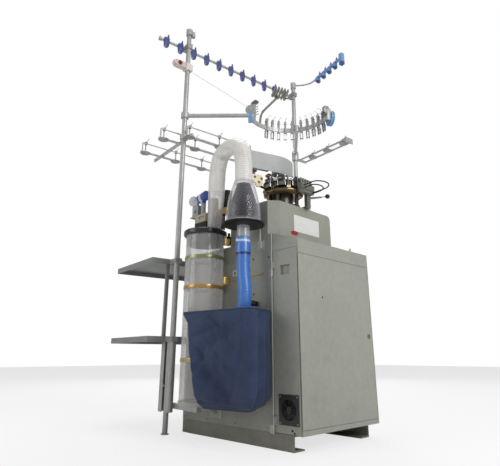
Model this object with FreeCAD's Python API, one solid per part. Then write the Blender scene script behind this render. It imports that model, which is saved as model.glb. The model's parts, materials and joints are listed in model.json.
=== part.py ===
import FreeCAD, Part
import os
from math import cos, sin, tan, pi, radians, hypot, atan2, degrees

# A small-diameter circular knitting machine with its yarn stand and sock collector.
# Millimetres. +Z is up and the floor is z = 0. +X looks out of the large front door,
# -Y is the work side, where the clear collector and the cloth bag hang.
# The origin is the middle of the four floor bolt holes.

os.makedirs("parts", exist_ok=True)
V = FreeCAD.Vector
UP = V(0, 0, 1)

# ---- cabinet ----
cab_len = 750.0          # along X
cab_wid = 525.4          # along Y
cab_z0 = 58.7            # underside of the body
cab_z1 = 782.0           # seam under the top cover
sheet = 2.5              # sheet-metal skin
deck_t = 5.0             # top deck of the cabinet
floor_t = 6.0            # bottom plate of the cabinet
gap = 1.5                # reveal round each door
seat = 0.3               # clearance of a seated or running piece that is not a bearing
run_fit = 0.05           # radial clearance in a bearing
pivot_fit = 0.15         # radial clearance of a door pivot

skid_w = 63.0
skid_set = 46.2          # how far the skids stop short of the cabinet ends
skid_t = 6.0
rear_skid_in = 18.0      # rear skid inset from the far side
foot_hole_r = 7.0
foot_hole_x = 500.0      # hole spacing along X
foot_hole_y = 444.4      # hole spacing along Y

# ---- doors ----
door_z0 = 79.0
door_z1 = 752.0
door_y1 = 257.0          # free edge of the front door
door_deep = 18.0
side_x0 = cab_len / 2 - 143.0   # hinge edge of the side door
side_x1 = cab_len / 2 - 6.6     # free edge, clear of the front door's swing
side_z0 = 61.0
side_z1 = 779.0
side_pan_x1 = cab_len / 2 - 25.0
jamb_t = 3.0
pivot_r = 1.8
pivot_in = 2.7           # pivot set in from the door face and the corner
pivot_block = 16.0
barrel_r = 5.0
barrel_len = 63.0
barrel_low = 55.0        # bottom of each hinge
barrel_high = 669.0
lock_y = 229.0
lock_z = 428.0
lock_r = 6.0
pull_x = cab_len / 2 - 75.0
pull_z = 691.0
pull_w = 58.0
pull_h = 44.0

# ---- fan in the side door ----
fan_x = cab_len / 2 - 67.0
fan_z = 145.3
fan_w = 102.0
fan_h = 109.4
fan_r = 37.5
fan_wall = 1.5
fan_hub_r = 14.0
fan_blades = 7

# ---- hood and upper housing ----
hood_low = 845.0
hood_high = 864.0
hood_front = 816.0       # height of the hood's front lip
hood_s0 = 150.0
hood_s1 = 185.0
hood_s2 = 230.0
house_x0 = -55.0
house_x1 = 235.0
house_y0 = -258.0
house_y1 = 165.0
house_ch_x = 38.0
house_ch_y = 43.0
house_z1 = 1026.0
house_t = 3.0
house_round = 24.0

# ---- knitting head ----
head_x = 150.0
head_y = -95.0
cyl_r = 47.6             # needle cylinder, outside
cyl_bore = 38.0
cyl_z1 = 1140.0
tricks = 28
trick_w = 3.2
trick_deep = 3.0
needle_w = 1.6
needle_up = 9.0
ring_r = 100.0
ring_z0 = 1086.0
ring_h = 38.0
ring_bore = 49.6
plate_r = 84.0            # bed plate, just inside the housing face
plate_t = 8.0
pillar_r = 9.0
pillars = 4
pillar_ring = 70.0       # radius on which the pillars stand
dial_r = 44.0
dial_t = 7.0
dial_lift = 12.0         # dial above the cylinder top
dial_shaft_r = 8.0
carrier_z0 = 1190.0
carrier_h = 26.0
carrier_post_r = 15.0
shield_t = 2.5
shield_z0 = 1196.0
shield_z1 = 1286.0

# ---- drive ----
gear_m = 4.0
gear_teeth = 36
pinion_teeth = 12
gear_z0 = 960.0
gear_t = 14.0
shaft_r = 12.0
shaft_z0 = 500.0
pulley_r = 45.0
pulley_h = 24.0
motor_x = -190.0
motor_r = 62.0
motor_z0 = 250.0
motor_len = 230.0
motor_pulley_r = 30.0
belt_t = 4.0
belt_steps = 10

# ---- collector ----
col_x = -125.0
col_y = -360.0
col_r = 92.0
col_wall = 3.0
col_z0 = 153.0
col_z1 = 905.0
lid_r = 104.5
lid_z0 = 890.0
lid_z1 = 915.0
col_flats = 32
base_t = 10.0
band_h = 14.0
band_t = 1.6
pipe_r0 = 32.0
pipe_x0 = -62.0

# ---- hoses ----
hose_y = -360.0
u_r = 41.5
u_wall = 3.2
u_left = -50.0
u_right = 145.0
u_low = 1100.0
u_bend = 1212.0          # height of the bend's centre
u_ribs = 15
hose_sides = 12
blue_r = 30.0
blue_bore = 26.5
bell_x = 145.0
bell_top_r = 50.0
bell_low_r = 93.0
bell_z0 = 903.0
bell_wall = 2.5
bell_flats = 32
flange_r = 97.0
flange_t = 10.0
drop_r = 28.5
drop_bore = 25.5
drop_z0 = 842.0
cuff_z0 = 780.0
cuff_lip = 13.0

# ---- bag ----
bag_z1 = 520.0
bag_t = 3.0
bag_folds = 5
fold_deep = 5.0
bag_clear = 4.5          # cloth to the collector and the cabinet
bag_back_x = 224.0       # the sack ends here along the cabinet, beside the side door
bag_flare = 38.0         # the side door's clearance widens the sack away from the cabinet
rim_wire_r = 2.5
rim_left = -130.0
rim_front = -474.0
rim_right_x = 272.0
rim_right_y = -416.0

# ---- yarn stand: its own frame, turned about the left mast ----
mast_x = 35.0 - cab_len / 2
mast_y = -370.0
stand_turn = -6.0
mast_gap = 856.0
mast_r = 13.5
mast_z1 = 2226.0
foot_r = 12.5
left_mast_z0 = 95.0
rail_z = 2100.0
rail_r = 9.0
rail_x = -30.0
rail_y0 = -172.0
rail_y1 = 872.0
guides = 11
guide_first = -137.0
guide_pitch = 92.4
guide_w = 34.0
guide_h = 84.0
lamp_z = 1950.0
shelf_top = 817.0
shelf_low = 434.0
shelf_x0 = -490.0
shelf_x1 = -48.0
shelf_y0 = -112.0
shelf_y1 = 905.0
shelf_t = 2.5
shelf_lip = 28.0
shelf_clear = 6.0        # shelves to the cabinet wall
arm_z = 1637.0
arm_r = 13.0
arc_x = 131.0
arc_y = -8.0
arc_r = 226.0
arc_z = 1617.0
arc_from = 56.0
arc_to = 207.0
feelers = 10
feeler_first = 74.0
feeler_step = 10.0
feeler_break = 4.0       # extra angle where the right arm meets the rail
arm_end = 121.0          # angle at which the right arm meets the rail
bank_z = 2190.0
right_mast_z1 = bank_z + 5.0
creel_z = 1485.0
peg_up = 56.0
right_creel_z = 1600.0
right_pegs = (106.0, 237.0, 373.0)


# ---------------------------------------------------------------- basic forms
def box(x0, x1, y0, y1, z0, z1):
    return Part.makeBox(x1 - x0, y1 - y0, z1 - z0, V(x0, y0, z0))


def cyl(r, h, base, axis=UP):
    return Part.makeCylinder(r, h, V(*base), V(*axis))


def rod(p, q, r):
    a = V(*p)
    b = V(*q)
    return Part.makeCylinder(r, (b - a).Length, a, b - a)


def ngon_points(r, n, centre, normal):
    """Regular n-sided ring of points round a centre, square to a direction."""
    t = V(*normal).normalize()
    side = V(0, 0, 1) if abs(t.z) < 0.9 else V(1, 0, 0)
    u = t.cross(side).normalize()
    w = t.cross(u)
    c = V(*centre)
    return [c + (u * cos(a) + w * sin(a)) * r for a in [pi * (2 * i + 1) / n for i in range(n)]]


def ngon(r, n, centre, normal):
    ring = ngon_points(r, n, centre, normal)
    return Part.makePolygon(ring + [ring[0]])


def peg(r, h, base, axis=UP, n=8):
    """Small round piece drawn with n flats."""
    run = V(*axis).normalize() * h
    return Part.Face(ngon(r, n, base, axis)).extrude(run)


def wire(p, q, r, n=6):
    """Thin bar between two points, drawn with n flats."""
    run = V(*q) - V(*p)
    return peg(r, run.Length, p, tuple(run), n)


def collar_cut(r, h, base, axis=UP):
    """Eight-sided opening whose flats just clear a round of radius r."""
    return peg(r / cos(pi / 8), h, base, axis, 8)


def tube(r, bore, h, base, axis=UP):
    return cyl(r, h, base, axis).cut(cyl(bore, h, base, axis))


def face_of(points):
    ring = [V(*p) for p in points]
    return Part.Face(Part.makePolygon(ring + [ring[0]]))


def prism(points, run):
    return face_of(points).extrude(V(*run))


def around(x, y, r, z, n):
    """Ring of n points on a level circle."""
    return [V(x + r * cos(a), y + r * sin(a), z) for a in [pi * (2 * i + 1) / n for i in range(n)]]


def patch(corners):
    """One flat face, or two triangles where the four corners are not level with each other."""
    a, b, c, d = corners
    if abs((b - a).cross(c - a).dot(d - a)) < 1e-3:
        return [Part.Face(Part.makePolygon([a, b, c, d, a]))]
    return [Part.Face(Part.makePolygon([a, b, c, a])), Part.Face(Part.makePolygon([a, c, d, a]))]


def skinned(rings, capped):
    """Solid through rings of points: capped at both ends, or closed back to its first ring."""
    n = len(rings[0])
    pairs = list(zip(rings, rings[1:]))
    if not capped:
        pairs.append((rings[-1], rings[0]))
    faces = []
    for low, high in pairs:
        for i in range(n):
            j = (i + 1) % n
            faces += patch([low[i], low[j], high[j], high[i]])
    if capped:
        faces += [Part.Face(Part.makePolygon(ring + [ring[0]])) for ring in (rings[0], rings[-1])]
    shell = Part.makeShell(faces)
    shell.sewShape()
    solid = Part.makeSolid(shell)
    if solid.Volume < 0:
        solid.reverse()
    return solid


def turned(profile, x, y, n=32):
    """Solid turned about the vertical line through (x, y) in n flats, from (radius, z) points.

    A profile that starts and ends on the axis makes a full body, any other one a ring."""
    capped = profile[0][0] == 0
    points = [p for p in profile if p[0] > 0]
    return skinned([around(x, y, r, z, n) for r, z in points], capped)


def fused(shapes):
    shape = shapes[0]
    if len(shapes) > 1:
        shape = shape.fuse(shapes[1:])
    return shape.removeSplitter()


def group(shapes):
    return Part.makeCompound(shapes)


def spun(shape, x, y, angle):
    copy = shape.copy()
    copy.rotate(V(x, y, 0), UP, angle)
    return copy


def on_stand(shape):
    """Carries a shape from the stand's own frame to the machine's."""
    copy = shape.copy()
    copy.rotate(V(0, 0, 0), UP, stand_turn)
    copy.translate(V(mast_x, mast_y, 0))
    return copy


def stand_point(x, y, z):
    a = radians(stand_turn)
    return (mast_x + x * cos(a) - y * sin(a), mast_y + x * sin(a) + y * cos(a), z)


def save(name, shape):
    shape.exportStep("parts/" + name + ".step")


# ---------------------------------------------------------------- hose and cable routes
def bends(points):
    """Corner, turn and radius of each bend, with the radius that its two runs allow."""
    found = []
    for a, b, c in zip(points, points[1:], points[2:]):
        u = V(*b) - V(*a)
        w = V(*c) - V(*b)
        turn = u.getAngle(w)
        reach = 0.45 * min(u.Length, w.Length)
        found.append((V(*b), u.normalize(), w.normalize(), turn, reach, reach / tan(turn / 2)))
    return found


def route(points):
    """Wire of straight runs joined by tangent arcs."""
    edges = []
    last = V(*points[0])
    for corner, u, w, turn, reach, radius in bends(points):
        start = corner - u * reach
        end = corner + w * reach
        inward = (w - u).normalize()
        middle = corner + inward * (radius / cos(turn / 2) - radius)
        edges.append(Part.LineSegment(last, start).toShape())
        edges.append(Part.Arc(start, middle, end).toShape())
        last = end
    edges.append(Part.LineSegment(last, V(*points[-1])).toShape())
    return Part.Wire(edges)


def report_route(name, points, r, bore, shape, n):
    length = route(points).Length
    section = n * sin(2 * pi / n) / 2 * (r * r - bore * bore)
    radii = [round(b[5], 1) for b in bends(points)]
    print(name, "length", round(length, 1), "radii", radii,
          "volume over section x length", round(shape.Volume / (section * length), 3))


def ribbed(points, r, bore, ribs, depth):
    """Hose with raised ribs and a plain bore: four rings of points for each rib."""
    path = route(points)
    length = path.Length
    plain = 0.09 * length
    pitch = (length - 2 * plain) / ribs
    marks = [(0.0, r - depth)]
    for i in range(ribs):
        s = plain + i * pitch
        for share, radius in ((0.0, r - depth), (0.3, r), (0.6, r), (0.85, r - depth)):
            marks.append((s + share * pitch, radius))
    marks.append((length, r - depth))
    return hose_body(path, marks, [(s, bore) for s in core_marks(path)], hose_sides)


def hose_body(path, outside, inside, n):
    """Solid between the outer and the inner (distance, radius) marks along a route."""
    rings = [flat_ring(q, n, p, t) for (s, q), (p, t) in zip(outside, places(path, [m[0] for m in outside]))]
    cores = [flat_ring(q, n, p, t) for (s, q), (p, t) in zip(inside, places(path, [m[0] for m in inside]))]
    return skinned(rings + cores[::-1], False)


def plain_hose(points, r, bore):
    """Smooth hose in short flats along its route."""
    path = route(points)
    marks = core_marks(path)
    return hose_body(path, [(s, r) for s in marks], [(s, bore) for s in marks], hose_sides)


def cord_body(points, r, n):
    """Solid cord in short flats along a route that bends in any direction."""
    path = route(points)
    rings = [[V(q.x, q.y, q.z) for q in ngon_points(r, n, p, t)] for p, t in places(path, core_marks(path))]
    return skinned(rings, True)


def flat_ring(r, n, centre, along):
    """Ring of n points square to a route in the XZ plane, on a steady Y axis."""
    u = V(0, 1, 0)
    w = along.cross(u)
    return [centre + (u * cos(a) + w * sin(a)) * r for a in [pi * (2 * i + 1) / n for i in range(n)]]


def core_marks(path):
    """Distances for a plain wall: the ends of each straight and the steps round each bend."""
    marks = [0.0]
    for edge in path.OrderedEdges:
        steps = 1 if edge.Curve.TypeId == "Part::GeomLine" else 3
        start = marks[-1]
        marks += [start + edge.Length * (k + 1) / steps for k in range(steps)]
    return marks


def places(path, marks):
    """Point and direction at each distance along a wire."""
    spots = []
    for s in marks:
        left = s
        for edge in path.OrderedEdges:
            if left <= edge.Length + 1e-6:
                break
            left -= edge.Length
        left = min(left, edge.Length)
        u = edge.getParameterByLength(left)
        spots.append((edge.valueAt(u), edge.tangentAt(u)))
    return spots


# ---------------------------------------------------------------- cabinet
def base_skids():
    """Two folded channels along X that carry the cabinet, open towards its middle."""
    x0 = -cab_len / 2 + skid_set
    x1 = cab_len / 2 - skid_set
    made = []
    for y0, side in ((-cab_wid / 2, 1), (cab_wid / 2 - rear_skid_in, -1)):
        outer = [(0, 0), (skid_w, 0), (skid_w, skid_t), (skid_t, skid_t)]
        upper = [(skid_t, cab_z0 - skid_t), (skid_w, cab_z0 - skid_t), (skid_w, cab_z0), (0, cab_z0)]
        points = [(x0, y0 + side * y, z) for y, z in outer + upper]
        made.append(prism(points, (x1 - x0, 0, 0)))
    holes = [cyl(foot_hole_r, skid_t, (sx * foot_hole_x / 2, sy * foot_hole_y / 2, 0))
             for sx in (-1, 1) for sy in (-1, 1)]
    return group([beam.cut(holes) for beam in made])


def front_recess():
    x = cab_len / 2
    return box(x - door_deep - gap, x + 1, -cab_wid / 2 - 1, door_y1 + gap,
               door_z0 - gap, door_z1 + gap)


def side_recess():
    y = -cab_wid / 2
    skin = box(side_x0 - gap, side_x1 + gap, y - 1, y + sheet + seat, side_z0 - gap, side_z1 + gap)
    deep = box(side_x0 - gap, side_pan_x1 + gap, y - 1, y + door_deep + gap,
               side_z0 - gap, side_z1 + gap)
    return skin.fuse(deep)


def jambs():
    """Folded frames behind both doors."""
    x = cab_len / 2 - door_deep - gap
    y = -cab_wid / 2 + door_deep + gap
    front = box(x - jamb_t, x, y, cab_wid / 2 - sheet, cab_z0 + floor_t, cab_z1 - deck_t)
    front = front.cut(box(x - jamb_t, x, y + 16, door_y1 - 17, door_z0 + 14, door_z1 - 14))
    side = box(side_x0 - gap, x - jamb_t, y, y + jamb_t, cab_z0 + floor_t, cab_z1 - deck_t)
    side = side.cut(box(side_x0 + 13, x - 13, y, y + jamb_t, side_z0 + 15, side_z1 - 15))
    back = box(side_x0 - gap - jamb_t, side_x0 - gap, -cab_wid / 2, y + jamb_t,
               cab_z0 + floor_t, cab_z1 - deck_t)
    return front.fuse([side, back])


def pivot_blocks():
    """Corner blocks above and below the front door that take its pivots, clear of the side door."""
    x = cab_len / 2
    y = -cab_wid / 2
    made = []
    for z0, z1 in ((cab_z0 + floor_t, door_z0 - gap), (door_z1 + gap, door_z1 + gap + 12)):
        made.append(box(x - pivot_block, x, y + sheet + 1, y + pivot_block, z0, z1))
        made.append(box(side_x1 + gap, x, y, y + pivot_block, z0, z1))
    return made


def cabinet_shell():
    hx = cab_len / 2
    hy = cab_wid / 2
    shell = box(-hx, hx, -hy, hy, cab_z0, cab_z1)
    shell = shell.cut(box(-hx + sheet, hx - sheet, -hy + sheet, hy - sheet,
                          cab_z0 + floor_t, cab_z1 - deck_t))
    shell = shell.cut([front_recess(), side_recess()])
    shell = shell.fuse([jambs()] + pivot_blocks())
    px = hx - pivot_in
    py = -hy + pivot_in
    drill = [cyl(pivot_r + pivot_fit, 40, (px, py, cab_z0 + floor_t)),
             cyl(pivot_r + pivot_fit, 12, (px, py, door_z1 + gap - 1)),
             cyl(shaft_r + 3, deck_t + 2, (head_x - shaft_reach(), head_y, cab_z1 - deck_t - 1)),
             cyl(cyl_bore, deck_t + 2, (head_x, head_y, cab_z1 - deck_t - 1))]
    shell = shell.cut(drill)
    return shell.removeSplitter()


def shaft_reach():
    """Centre distance of the cylinder gear and its pinion."""
    return gear_m * (gear_teeth + pinion_teeth) / 2


def hood_profile(inset):
    """Top cover in the XZ plane: a flat back, a step up and a slope to the front lip."""
    hx = cab_len / 2 - inset
    y = -cab_wid / 2 + inset
    top = [(hx, hood_front - inset), (hood_s2, hood_high - 3 - inset), (hood_s1 + 6, hood_high - inset),
           (hood_s1 - 6, hood_high - 4 - inset), (hood_s0 + 8, hood_low + 4 - inset),
           (hood_s0 - 8, hood_low - inset), (-hx, hood_low - inset)]
    points = [(-hx, cab_z1)] + [(hx, cab_z1)] + top
    return [(x, y, z) for x, z in points]


def top_cover():
    outer = prism(hood_profile(0.0), (0, cab_wid, 0))
    inner = prism(hood_profile(sheet), (0, cab_wid - 2 * sheet, 0))
    hood = outer.cut(inner)
    sx = head_x - shaft_reach()
    hood = hood.cut([cyl(shaft_r + 3, 200, (sx, head_y, cab_z1 + 10)),
                     cyl(cyl_bore, 200, (head_x, head_y, cab_z1 + 10))])
    stub_x = cab_len / 2 - 3
    stub = wire((stub_x, 126.0, hood_front), (stub_x, 126.0, hood_front + 13), 4.0, 8)
    return hood.fuse(stub).removeSplitter()


def side_hinges():
    """Fixed halves of the two barrel hinges, with their pins."""
    x = side_x0 - gap - 1.5
    y = -cab_wid / 2 - barrel_r - seat
    made = []
    for z in (barrel_low, barrel_high):
        low = z + barrel_len / 2
        leaf = box(x - 22, x, -cab_wid / 2 - 1.5, -cab_wid / 2, z, low)
        knuckle = peg(barrel_r, barrel_len / 2 - 0.2, (x, y, z), UP, 12)
        web = box(x - 8, x, y, -cab_wid / 2, z, low - 0.2)
        pin = cyl(2.5, barrel_len - 3, (x, y, z + 1))
        made.append(leaf.fuse([web, knuckle, pin]))
    return group(made)


def front_door():
    hx = cab_len / 2
    y0 = -cab_wid / 2
    y_pan = y0 + door_deep + gap + 2
    skin = box(hx - sheet, hx, y0, door_y1, door_z0, door_z1)
    rim = box(hx - door_deep, hx - sheet, y_pan, door_y1, door_z0, door_z1)
    rim = rim.cut(box(hx - door_deep, hx - sheet, y_pan + 2, door_y1 - 2, door_z0 + 2, door_z1 - 2))
    lip = box(hx - door_deep, hx - door_deep + 2, y_pan, door_y1, door_z0, door_z1)
    lip = lip.cut(box(hx - door_deep, hx - door_deep + 2, y_pan + 14, door_y1 - 14,
                      door_z0 + 14, door_z1 - 14))
    px = hx - pivot_in
    py = y0 + pivot_in
    lugs = []
    for z, dz in ((door_z1 - 4, 1), (door_z0, -1)):
        lugs.append(box(px - pivot_r, hx - sheet, py - pivot_r, y_pan + 2, z, z + 4))
        start = z + 4 if dz > 0 else z
        lugs.append(rod((px, py, start - dz), (px, py, start + dz * (gap + 8)), pivot_r))
    door = fused([skin, rim, lip] + lugs)
    return door.cut(cyl(lock_r + run_fit, 8, (hx - 6, lock_y, lock_z), (1, 0, 0)))


def door_lock():
    """Quarter-turn lock: a slotted head outside and a cam behind the door."""
    hx = cab_len / 2
    head = peg(lock_r + 4, 3.2, (hx + seat, lock_y, lock_z), (1, 0, 0), 16)
    head = head.cut(box(hx + 2.2, hx + 5, lock_y - 1, lock_y + 1, lock_z - 8, lock_z + 8))
    stem = cyl(lock_r, door_deep + 6, (hx - door_deep - 5.5, lock_y, lock_z), (1, 0, 0))
    cam = box(hx - door_deep - 7.5, hx - door_deep - 4.8, lock_y - 7, lock_y + 7,
              lock_z - 28, lock_z + 7)
    return fused([head, stem, cam])


def side_door():
    y = -cab_wid / 2
    skin = box(side_x0, side_x1, y, y + sheet, side_z0, side_z1)
    rim = box(side_x0, side_pan_x1, y + sheet, y + door_deep, side_z0, side_z1)
    rim = rim.cut(box(side_x0 + 2, side_pan_x1 - 2, y + sheet, y + door_deep,
                      side_z0 + 2, side_z1 - 2))
    cup = box(pull_x - pull_w / 2, pull_x + pull_w / 2, y + sheet, y + 15,
              pull_z - pull_h / 2, pull_z + pull_h / 2)
    hollow = box(pull_x - pull_w / 2 + 2, pull_x + pull_w / 2 - 2, y, y + 13,
                 pull_z - pull_h / 2 + 2, pull_z + pull_h / 2 - 2)
    hx = side_x0 - gap - 1.5
    hy = y - barrel_r - seat
    door = fused([skin, rim, cup])
    door = door.cut([hollow, peg(fan_r + fan_wall + 0.4, sheet, (fan_x, y, fan_z), (0, 1, 0), 28),
                     peg(5, sheet, (fan_x + 14, y, 74), (0, 1, 0))])
    for z in (barrel_low, barrel_high):
        z_mid = z + barrel_len / 2
        knuckle = peg(barrel_r, barrel_len / 2 - 0.2, (hx, hy, z_mid + 0.2), UP, 12)
        leaf = box(hx, hx + 14, hy - 1, hy + 1.2, z_mid + 0.2, z + barrel_len)
        foot = box(hx + 5, hx + 14, hy, y, z_mid + 0.2, z + barrel_len)
        door = door.fuse([knuckle, leaf, foot])
        door = door.cut(cyl(2.5 + run_fit, barrel_len, (hx, hy, z)))
    return door.removeSplitter()


def fan_guard():
    """Fan frame on the outside of the side door: flange, duct and four spokes to the hub."""
    y = -cab_wid / 2
    x0 = fan_x - fan_w / 2
    z0 = fan_z - fan_h / 2
    plate = box(x0, x0 + fan_w, y - 3, y, z0, z0 + fan_h)
    duct = peg(fan_r + fan_wall, door_deep + 3, (fan_x, y - 3, fan_z), (0, 1, 0), 28)
    bore = peg(fan_r, door_deep + 3, (fan_x, y - 3, fan_z), (0, 1, 0), 28)
    frame = plate.fuse(duct).cut(bore)
    parts = [frame, peg(fan_hub_r, 3, (fan_x, y - 3, fan_z), (0, 1, 0), 12)]
    for i in range(4):
        a = radians(45 + 90 * i)
        end = (fan_x + (fan_r + 1) * cos(a), fan_z + (fan_r + 1) * sin(a))
        parts.append(wire((fan_x, y - 1.5, fan_z), (end[0], y - 1.5, end[1]), 1.5, 4))
    parts.append(cyl(3.0, 8, (fan_x, y, fan_z), (0, 1, 0)))
    return fused(parts)


def fan_rotor():
    """Hub with curved blades, each set at an angle to the air stream."""
    y = -cab_wid / 2 + seat
    hub = peg(fan_hub_r, door_deep - 4, (fan_x, y, fan_z), (0, 1, 0), 14)
    parts = [hub]
    for i in range(fan_blades):
        blade = box(fan_hub_r - 1, fan_r - 1.2, -1.0, 1.0, -8.5, 8.5)
        blade.rotate(V(0, 0, 0), V(1, 0, 0), 52)
        blade.rotate(V(0, 0, 0), UP, 360.0 * i / fan_blades)
        blade.rotate(V(0, 0, 0), V(1, 0, 0), 90)
        blade.translate(V(fan_x, y + (door_deep - 4) / 2, fan_z))
        parts.append(blade)
    rotor = fused(parts)
    return rotor.cut(cyl(3.0 + run_fit, 8.5, (fan_x, y, fan_z), (0, 1, 0)))


# ---------------------------------------------------------------- upper housing and head
def house_plan(inset, z):
    x0 = house_x0 + inset
    x1 = house_x1 - inset
    y0 = house_y0 + inset
    y1 = house_y1 - inset
    k = inset * 0.6
    return [(x0, y0, z), (x1 - house_ch_x + k, y0, z), (x1, y0 + house_ch_y - k, z),
            (x1, y1, z), (x0, y1, z)]


def upper_housing():
    """Grey drive housing with a bevelled front corner and one rounded shoulder."""
    body = prism(house_plan(0.0, hood_low - 10), (0, 0, house_z1 - hood_low + 10))
    edges = [e for e in body.Edges
             if abs(e.BoundBox.ZMin - house_z1) < 0.01 and abs(e.BoundBox.YMin - house_y1) < 0.01
             and e.BoundBox.YLength < 0.01]
    body = body.makeFillet(house_round, edges)
    body = body.cut(prism(hood_profile(0.0), (0, cab_wid, 0)))
    core = prism(house_plan(house_t, hood_low - 20), (0, 0, house_z1 - hood_low - house_round + 10))
    top = box(house_x0 + house_t, house_x1 - house_t - 1, head_y - 110, head_y + 110,
              hood_low, house_z1 - house_t)
    inner = core.fuse(top.common(prism(house_plan(house_t, hood_low), (0, 0, 400))))
    body = body.cut(inner)
    body = body.cut(cyl(ring_bore, 30, (head_x, head_y, house_z1 - 20)))
    sx = head_x - shaft_reach()
    boss = tube(shaft_r + 8, shaft_r + run_fit, 30, (sx, head_y, house_z1 - house_t - 30))
    return body.fuse(boss).removeSplitter()


def bed_plate():
    """Round plate on the housing with four turned pillars up to the cam ring."""
    profile = [(cyl_r - 2, house_z1), (plate_r - 2, house_z1), (plate_r, house_z1 + plate_t),
               (cyl_r + 8, house_z1 + plate_t), (cyl_r - 2, house_z1 + plate_t - 3)]
    parts = [turned(profile, head_x, head_y, 36)]
    for i in range(pillars):
        a = radians(20 + 360.0 * i / pillars)
        x = head_x + pillar_ring * cos(a)
        y = head_y + pillar_ring * sin(a)
        z = house_z1 + plate_t
        parts.append(peg(pillar_r, ring_z0 - z + 1, (x, y, z - 1)))
        parts.append(peg(pillar_r + 3, 7, (x, y, z - 1)))
    plate = fused(parts)
    return plate.cut(cyl(cyl_r + run_fit, plate_t, (head_x, head_y, house_z1)))


def cam_ring():
    """Dark cam ring: a turned rim with a flared skirt, a waist and raised cam boxes."""
    z = ring_z0
    h = ring_h
    profile = [(ring_bore, z), (ring_r - 14, z), (ring_r - 6, z + 5), (ring_r - 2, z + 8),
               (ring_r, z + 14), (ring_r, z + 20), (ring_r - 5, z + 25), (ring_r - 16, z + 28),
               (ring_r - 18, z + h - 6), (ring_bore + 10, z + h), (ring_bore, z + h)]
    parts = [turned(profile, head_x, head_y, 40)]
    for i in range(8):
        cam = box(head_x + 54, head_x + ring_r + 3, head_y - 9, head_y + 9, z + 22, z + 34)
        parts.append(spun(cam, head_x, head_y, 45 * i + 12))
    return fused(parts)


def gear(teeth, z, h, x, y, phase):
    """Spur gear with straight flanks that leave backlash: four points round each tooth."""
    r_p = gear_m * teeth / 2
    root = r_p - 1.2 * gear_m
    tip = r_p + 0.75 * gear_m
    outline = []
    for i in range(teeth):
        mid = radians(phase + 360.0 * i / teeth)
        for r, w in ((root, -0.78 * gear_m), (tip, -0.32 * gear_m), (tip, 0.32 * gear_m), (root, 0.78 * gear_m)):
            a = mid + w / r
            outline.append((x + r * cos(a), y + r * sin(a), z))
    return prism(outline, (0, 0, h))


def needle_cylinder():
    """Needle cylinder with its tricks, a latch needle in every trick, and its drive gear."""
    z0 = gear_z0
    body = cyl(cyl_r, cyl_z1 - z0, (head_x, head_y, z0))
    wheel = gear(gear_teeth, z0, gear_t, head_x, head_y, 0.0)
    body = body.fuse(wheel)
    slot = box(head_x + cyl_r - trick_deep, head_x + cyl_r + 1, head_y - trick_w / 2,
               head_y + trick_w / 2, ring_z0 + 12, cyl_z1)
    body = body.cut([spun(slot, head_x, head_y, 360.0 * i / tricks) for i in range(tricks)])
    body = body.cut(cyl(cyl_bore, cyl_z1 - z0, (head_x, head_y, z0)))
    return body


def needles():
    """Latch needles, one standing in every trick."""
    x = head_x + cyl_r - trick_deep
    side = [(x, ring_z0 + 14), (x + trick_deep, ring_z0 + 14), (x + 1.4, ring_z0 + 20),
            (x + 1.4, cyl_z1 + needle_up), (x, cyl_z1 + needle_up - 2)]
    needle = prism([(px, head_y - needle_w / 2, pz) for px, pz in side], (0, needle_w, 0))
    return group([spun(needle, head_x, head_y, 360.0 * i / tricks) for i in range(tricks)])


def dial():
    """Slotted dial above the cylinder on its own shaft."""
    z = cyl_z1 + dial_lift
    profile = [(0, z), (dial_r - 5, z), (dial_r, z + 2.5), (dial_r, z + dial_t), (18, z + dial_t + 5),
               (0, z + dial_t + 5)]
    body = turned(profile, head_x, head_y, 36)
    body = body.fuse(cyl(dial_shaft_r, carrier_z0 + carrier_h - 4 - z, (head_x, head_y, z)))
    slot = box(head_x + dial_r - 12, head_x + dial_r + 1, head_y - 0.8, head_y + 0.8,
               z + dial_t - 3, z + dial_t + 4)
    return body.cut([spun(slot, head_x, head_y, 20.0 * i) for i in range(18)])


def dial_carrier():
    """Post on the housing and the arm that holds the dial shaft over the cylinder."""
    px = head_x - 122
    py = head_y + 60
    post = peg(carrier_post_r, carrier_z0 - house_z1, (px, py, house_z1), UP, 16)
    foot = peg(carrier_post_r + 12, 10, (px, py, house_z1), UP, 16)
    hub = peg(24, carrier_h, (head_x, head_y, carrier_z0), UP, 20)
    boss = peg(carrier_post_r + 7, carrier_h, (px, py, carrier_z0), UP, 16)
    a = atan2(head_y - py, head_x - px)
    w = 14
    arm = prism([(px - w * sin(a), py + w * cos(a), carrier_z0),
                 (px + w * sin(a), py - w * cos(a), carrier_z0),
                 (head_x + w * sin(a), head_y - w * cos(a), carrier_z0),
                 (head_x - w * sin(a), head_y + w * cos(a), carrier_z0)], (0, 0, carrier_h))
    case = peg(23, shield_z1 - carrier_z0 - carrier_h - 14, (head_x, head_y, carrier_z0 + carrier_h), UP, 16)
    case = case.fuse(peg(40, 30, (head_x - 24, head_y, carrier_z0 + carrier_h), UP, 20))
    stay = wire((head_x, head_y, shield_z1 - 30), (head_x + 60, head_y, shield_z1 - 30), 5)
    stay = stay.common(shield_inside())
    whole = fused([post, foot, hub, boss, arm, case, stay])
    return whole.cut(cyl(dial_shaft_r + run_fit, carrier_h, (head_x, head_y, carrier_z0 - 1)))


def shield_line():
    """Plan of the shield: a flat wing towards the bell, then a bend round the head."""
    return (head_x - 20, head_y - 221), (head_x + 27, head_y - 70), (head_x + 34, head_y - 5), \
        (head_x + 12, head_y + 60)


def shield_arc(push):
    """Plan wire of the shield, moved outwards by push."""
    a, b, c, d = [V(p[0], p[1], 0) for p in shield_line()]
    u = (b - a).normalize()
    n = V(u.y, -u.x, 0)
    arc = Part.Arc(b, c, d).toShape()
    centre = arc.Curve.Center
    grow = [centre + (p - centre) * (1 + push / arc.Curve.Radius) for p in (b, c, d)]
    return [a + n * push, b + n * push] + grow


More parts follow.
